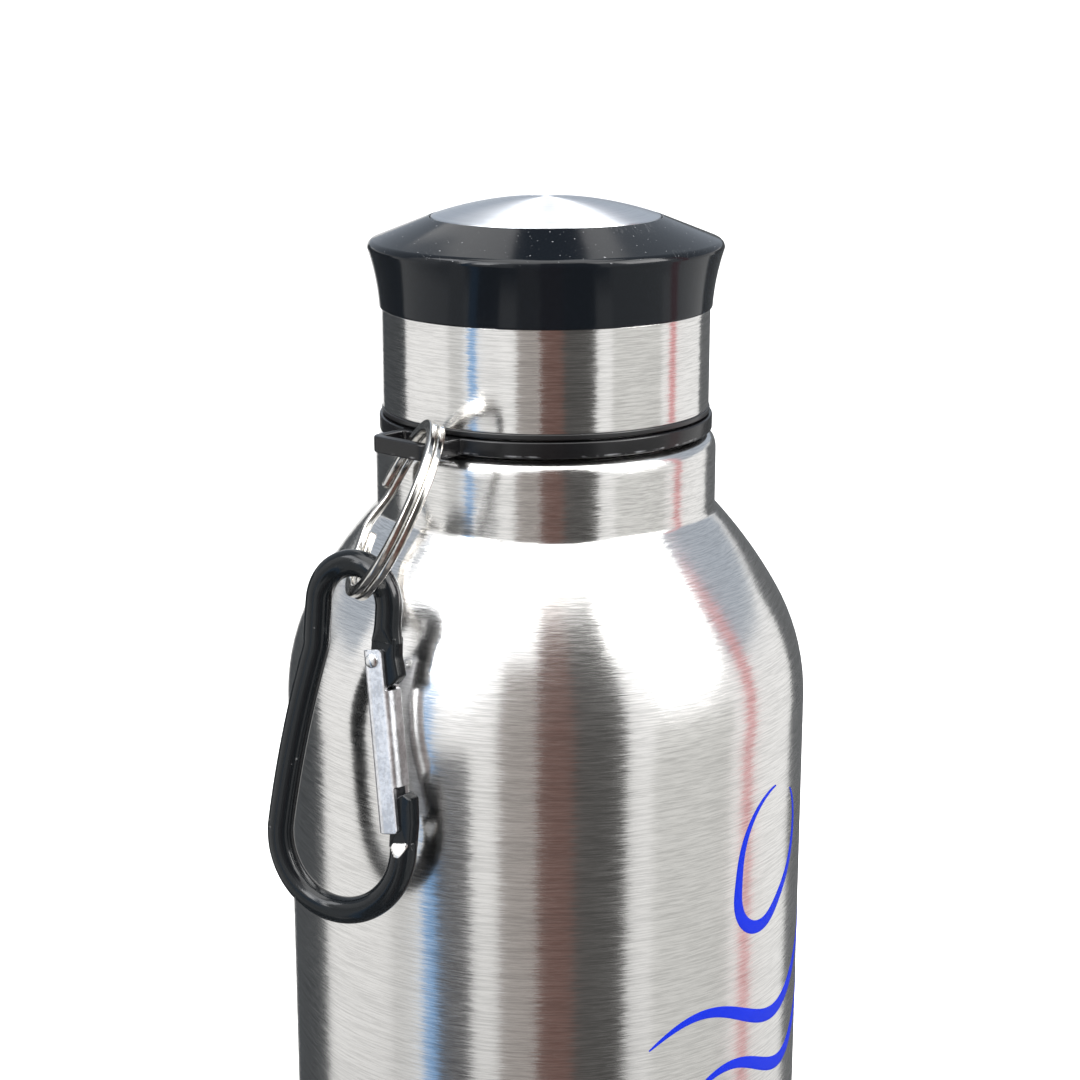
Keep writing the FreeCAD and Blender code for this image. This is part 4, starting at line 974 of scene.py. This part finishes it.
def strokeMesh(name, u, z, width):
    # A stroke follows (u, z) on the unrolled wall; u is an arc length, so the angle is
    # u / R.  Its lens section is width across and mark thick.
    ahead = np.stack([np.gradient(u), np.gradient(z)], 1)
    ahead /= np.hypot(*ahead.T)[:, None]
    across = np.stack([-ahead[:, 1], ahead[:, 0]], 1)
    s = np.array([-1, -0.97, -0.6, 0, 0.6, 0.97, 1, 0.97, 0.6, 0, -0.6, -0.97])
    lift = np.array([0, 0.8, 1, 1, 1, 0.8, 0, 0, 0, 0, 0, 0]) * mark["thick"] + mark["lift"]
    lift = lift - np.where(lift == mark["lift"], 0.03, 0)
    spread = 0.5 * width[:, None] * s
    flatU = u[:, None] + spread * across[:, :1]
    flatZ = z[:, None] + spread * across[:, 1:]
    radius = bottle["radius"] + lift[None] + 0 * flatU
    angle = math.radians(mark["middle"] - 90) + flatU / bottle["radius"]
    grid = np.stack([radius * np.cos(angle), radius * np.sin(angle), mark["height"] + flatZ], -1)
    first, last = grid[:1].mean(1, keepdims=True), grid[-1:].mean(1, keepdims=True)
    grid = np.concatenate([first + 0 * grid[:1], grid, last + 0 * grid[-1:]])
    return gridMesh(name, grid, poleStart=True, poleEnd=True)


t = np.linspace(0, 1, 161)
for number, (level, length, swing, slide) in enumerate(mark["waves"], start=1):
    # a wave that climbs to the right, thickest at its middle
    u = (t - 0.5) * length + slide
    z = level + swing * np.sin(2 * math.pi * mark["periods"] * t + mark["phase"]) + mark["climb"] * (t - 0.5)
    width = 0.25 + 2.5 * np.sin(math.pi * t) ** 0.8
    addPiece(strokeMesh(f"printWave{number}", u, z, width), inkBlue, "bottle")
# a drop that leans to the right: radius r(a) grows towards the tip as the eighth power of
# the cosine of half the angle from it, and the line stays open on the left of the tip
a = np.radians(np.linspace(14, 352, 221))
away = mark["dropRound"] + mark["dropTip"] * np.abs(np.cos(a / 2)) ** 8
tilt = math.radians(mark["dropTilt"])
u = mark["dropSide"] + away * np.cos(a + tilt)
z = mark["dropTop"] + away * np.sin(a + tilt)
width = 0.3 + 2.3 * np.sin(np.linspace(0, math.pi, 221)) ** 0.7
addPiece(strokeMesh("printDrop", u, z, width), inkBlue, "bottle")
print("print ready")


for node, material in (("vacuum_seal", solderGlass), ("getter", getterMetal), ("disc_tape", tapeFoam),
                       ("lid_foam", foamWhite), ("gate_spring", springSteel)):
    carried = frame["nodes"][node]
    carried.data.materials.clear()
    carried.data.materials.append(material)
print("carried nodes ready")


def plainSurface(name, shade, roughness):
    finish = Finish(name)
    grain = finish.noise(finish.place(), 30.0, 2.0)
    return finish.surface({"Base Color": finish.blend(grain, colour(*(c * 0.985 for c in shade)), colour(*shade)),
                           "Roughness": roughness, "Specular IOR Level": 0.2})


floorMesh = bpy.data.meshes.new("floor")
floorMesh.from_pydata([(-40, -40, 0), (40, -40, 0), (40, 40, 0), (-40, 40, 0)], [], [(0, 1, 2, 3)])
floorMesh.materials.append(plainSurface("floorPale", (0.96, 0.96, 0.96), 0.8))
floor = linked("floor", floorMesh)
floor.visible_glossy = False

cards = [
    # name, azimuth from the front to the right, width in degrees, distance, foot, head, shade
    ("cardDark", 20.0, 28.0, 0.95, -1.2, 2.6, (0.085, 0.083, 0.08)),
    ("cardBrown", 3.5, 16.0, 0.93, -1.2, 2.4, (0.17, 0.098, 0.084)),
    ("cardGrey", -12.5, 15.0, 0.97, -1.2, 0.9, (0.40, 0.37, 0.35)),
    ("cardShade", 66.0, 40.0, 0.98, -1.2, 0.22, (0.70, 0.70, 0.68)),
    ("cardDull", -64.0, 12.0, 0.96, -1.2, 0.9, (0.74, 0.74, 0.73)),
    ("cardBackLeft", -137.0, 48.0, 1.0, -1.2, 0.36, (0.07, 0.075, 0.08)),
    ("cardBackRight", 156.0, 44.0, 1.0, -1.2, 0.36, (0.14, 0.145, 0.15)),
    ("cardLow", -42.0, 20.0, 0.8, -1.2, 0.04, (0.10, 0.10, 0.105)),
    ("cardBlue", -51.0, 6.0, 0.78, -1.2, 0.9, (0.24, 0.48, 0.84)),
    ("cardRed", 97.0, 6.5, 0.9, -1.2, 0.9, (0.80, 0.36, 0.37)),
    ("cardAbove", 179.0, 18.0, 0.5, 0.60, 2.6, (0.08, 0.10, 0.13)),
    ("cardGlowLeft", -160.0, 20.0, 0.5, 1.15, 2.6, (2.3, 2.4, 2.5)),
    ("cardGlowRight", 162.0, 20.0, 0.5, 1.15, 2.6, (2.3, 2.4, 2.5)),
    ("cardBehind", 180.0, 60.0, 1.03, 0.34, 0.80, (0.46, 0.51, 0.58)),
    ("cardAboveLeft", -130.0, 66.0, 1.02, 0.42, 3.0, (0.46, 0.51, 0.58)),
    ("cardAboveRight", 128.0, 74.0, 1.02, 0.42, 3.0, (0.46, 0.51, 0.58)),
    ("cardCeilingLeft", -62.0, 66.0, 0.9, 1.0, 1.6, (7.0, 7.1, 7.3)),
    ("cardCeilingRight", 66.0, 60.0, 0.9, 1.0, 1.6, (7.0, 7.0, 6.9)),
]


def cardShade(name, shade):
    # a card gives its own even tone, and neither lights nor shades anything
    finish = Finish(name)
    glow = finish.node("Emission", {}, {"Color": colour(*shade), "Strength": 1.0})
    finish.node("OutputMaterial", {}, {"Surface": glow})
    return finish.material


for name, azimuth, spread, distance, foot, head, shade in cards:
    angle = np.radians(np.linspace(azimuth - spread / 2, azimuth + spread / 2, 9))
    wallX, wallY = distance * np.sin(angle), -distance * np.cos(angle)
    low = np.stack([wallX, wallY, 0 * angle + foot], 1)
    high = np.stack([wallX, wallY, 0 * angle + head], 1)
    cardMesh = bpy.data.meshes.new(name)
    cardMesh.from_pydata(np.concatenate([low, high]).tolist(), [], [(i, i + 1, i + 10, i + 9) for i in range(8)])
    cardMesh.materials.append(cardShade(name, shade))
    card = linked(name, cardMesh)
    card.visible_camera = card.visible_diffuse = card.visible_shadow = False
    card.visible_transmission = card.visible_volume_scatter = False

world = bpy.data.worlds.new("studio")
bpy.context.scene.world = world
world.use_nodes = True
tree = world.node_tree
tree.nodes.clear()
direction = tree.nodes.new("ShaderNodeTexCoord")
split = tree.nodes.new("ShaderNodeSeparateXYZ")
ramp = tree.nodes.new("ShaderNodeValToRGB")
spread = tree.nodes.new("ShaderNodeMapRange")
sky = tree.nodes.new("ShaderNodeBackground")
out = tree.nodes.new("ShaderNodeOutputWorld")
tree.links.new(direction.outputs["Generated"], split.inputs[0])
tree.links.new(split.outputs["Z"], spread.inputs["Value"])
spread.inputs["From Min"].default_value = -1
tree.links.new(spread.outputs[0], ramp.inputs[0])
tree.links.new(ramp.outputs[0], sky.inputs["Color"])
tree.links.new(sky.outputs[0], out.inputs[0])
stops = ramp.color_ramp.elements
stops[0].position, stops[0].color = 0.17, (0.10, 0.10, 0.105, 1)
stops[1].position, stops[1].color = 1.0, (1.75, 1.76, 1.78, 1)
for place, shade in ((0.28, (1.0, 1.0, 0.99, 1)), (0.56, (1.02, 1.02, 1.02, 1))):
    stops.new(place).color = shade

lights = [
    # name, place, size, watts, colour
    ("softTop", (0.0, -0.3, 1.7), 1.4, 18.0, (1.0, 0.995, 0.985)),
    ("softLeft", (-0.95, -0.85, 1.05), 0.62, 13.0, (0.985, 0.99, 1.0)),
    ("softRight", (1.15, -0.45, 1.0), 0.8, 20.0, (1.0, 0.99, 0.98)),
]
aim = Vector((0, 0, 0.2))
for name, place, size, watts, tint in lights:
    lamp = bpy.data.lights.new(name, "AREA")
    lamp.shape, lamp.size, lamp.energy, lamp.color = "SQUARE", size, watts, tint
    holder = linked(name, lamp)
    holder.location = place
    holder.rotation_euler = (aim - Vector(place)).to_track_quat("-Z", "Y").to_euler()

view = {"place": (-0.0011, -0.4205, 0.3317), "down": 14.2, "lens": 75.33, "sensor": 36.0}
eye = bpy.data.cameras.new("camera")
eye.lens, eye.sensor_width, eye.clip_start = view["lens"], view["sensor"], 0.01
camera = linked("camera", eye)
camera.location = view["place"]
camera.rotation_euler = (math.radians(90 - view["down"]), 0, 0)
bpy.context.scene.camera = camera
bpy.context.scene.view_settings.view_transform = "Standard"
print("stage ready")
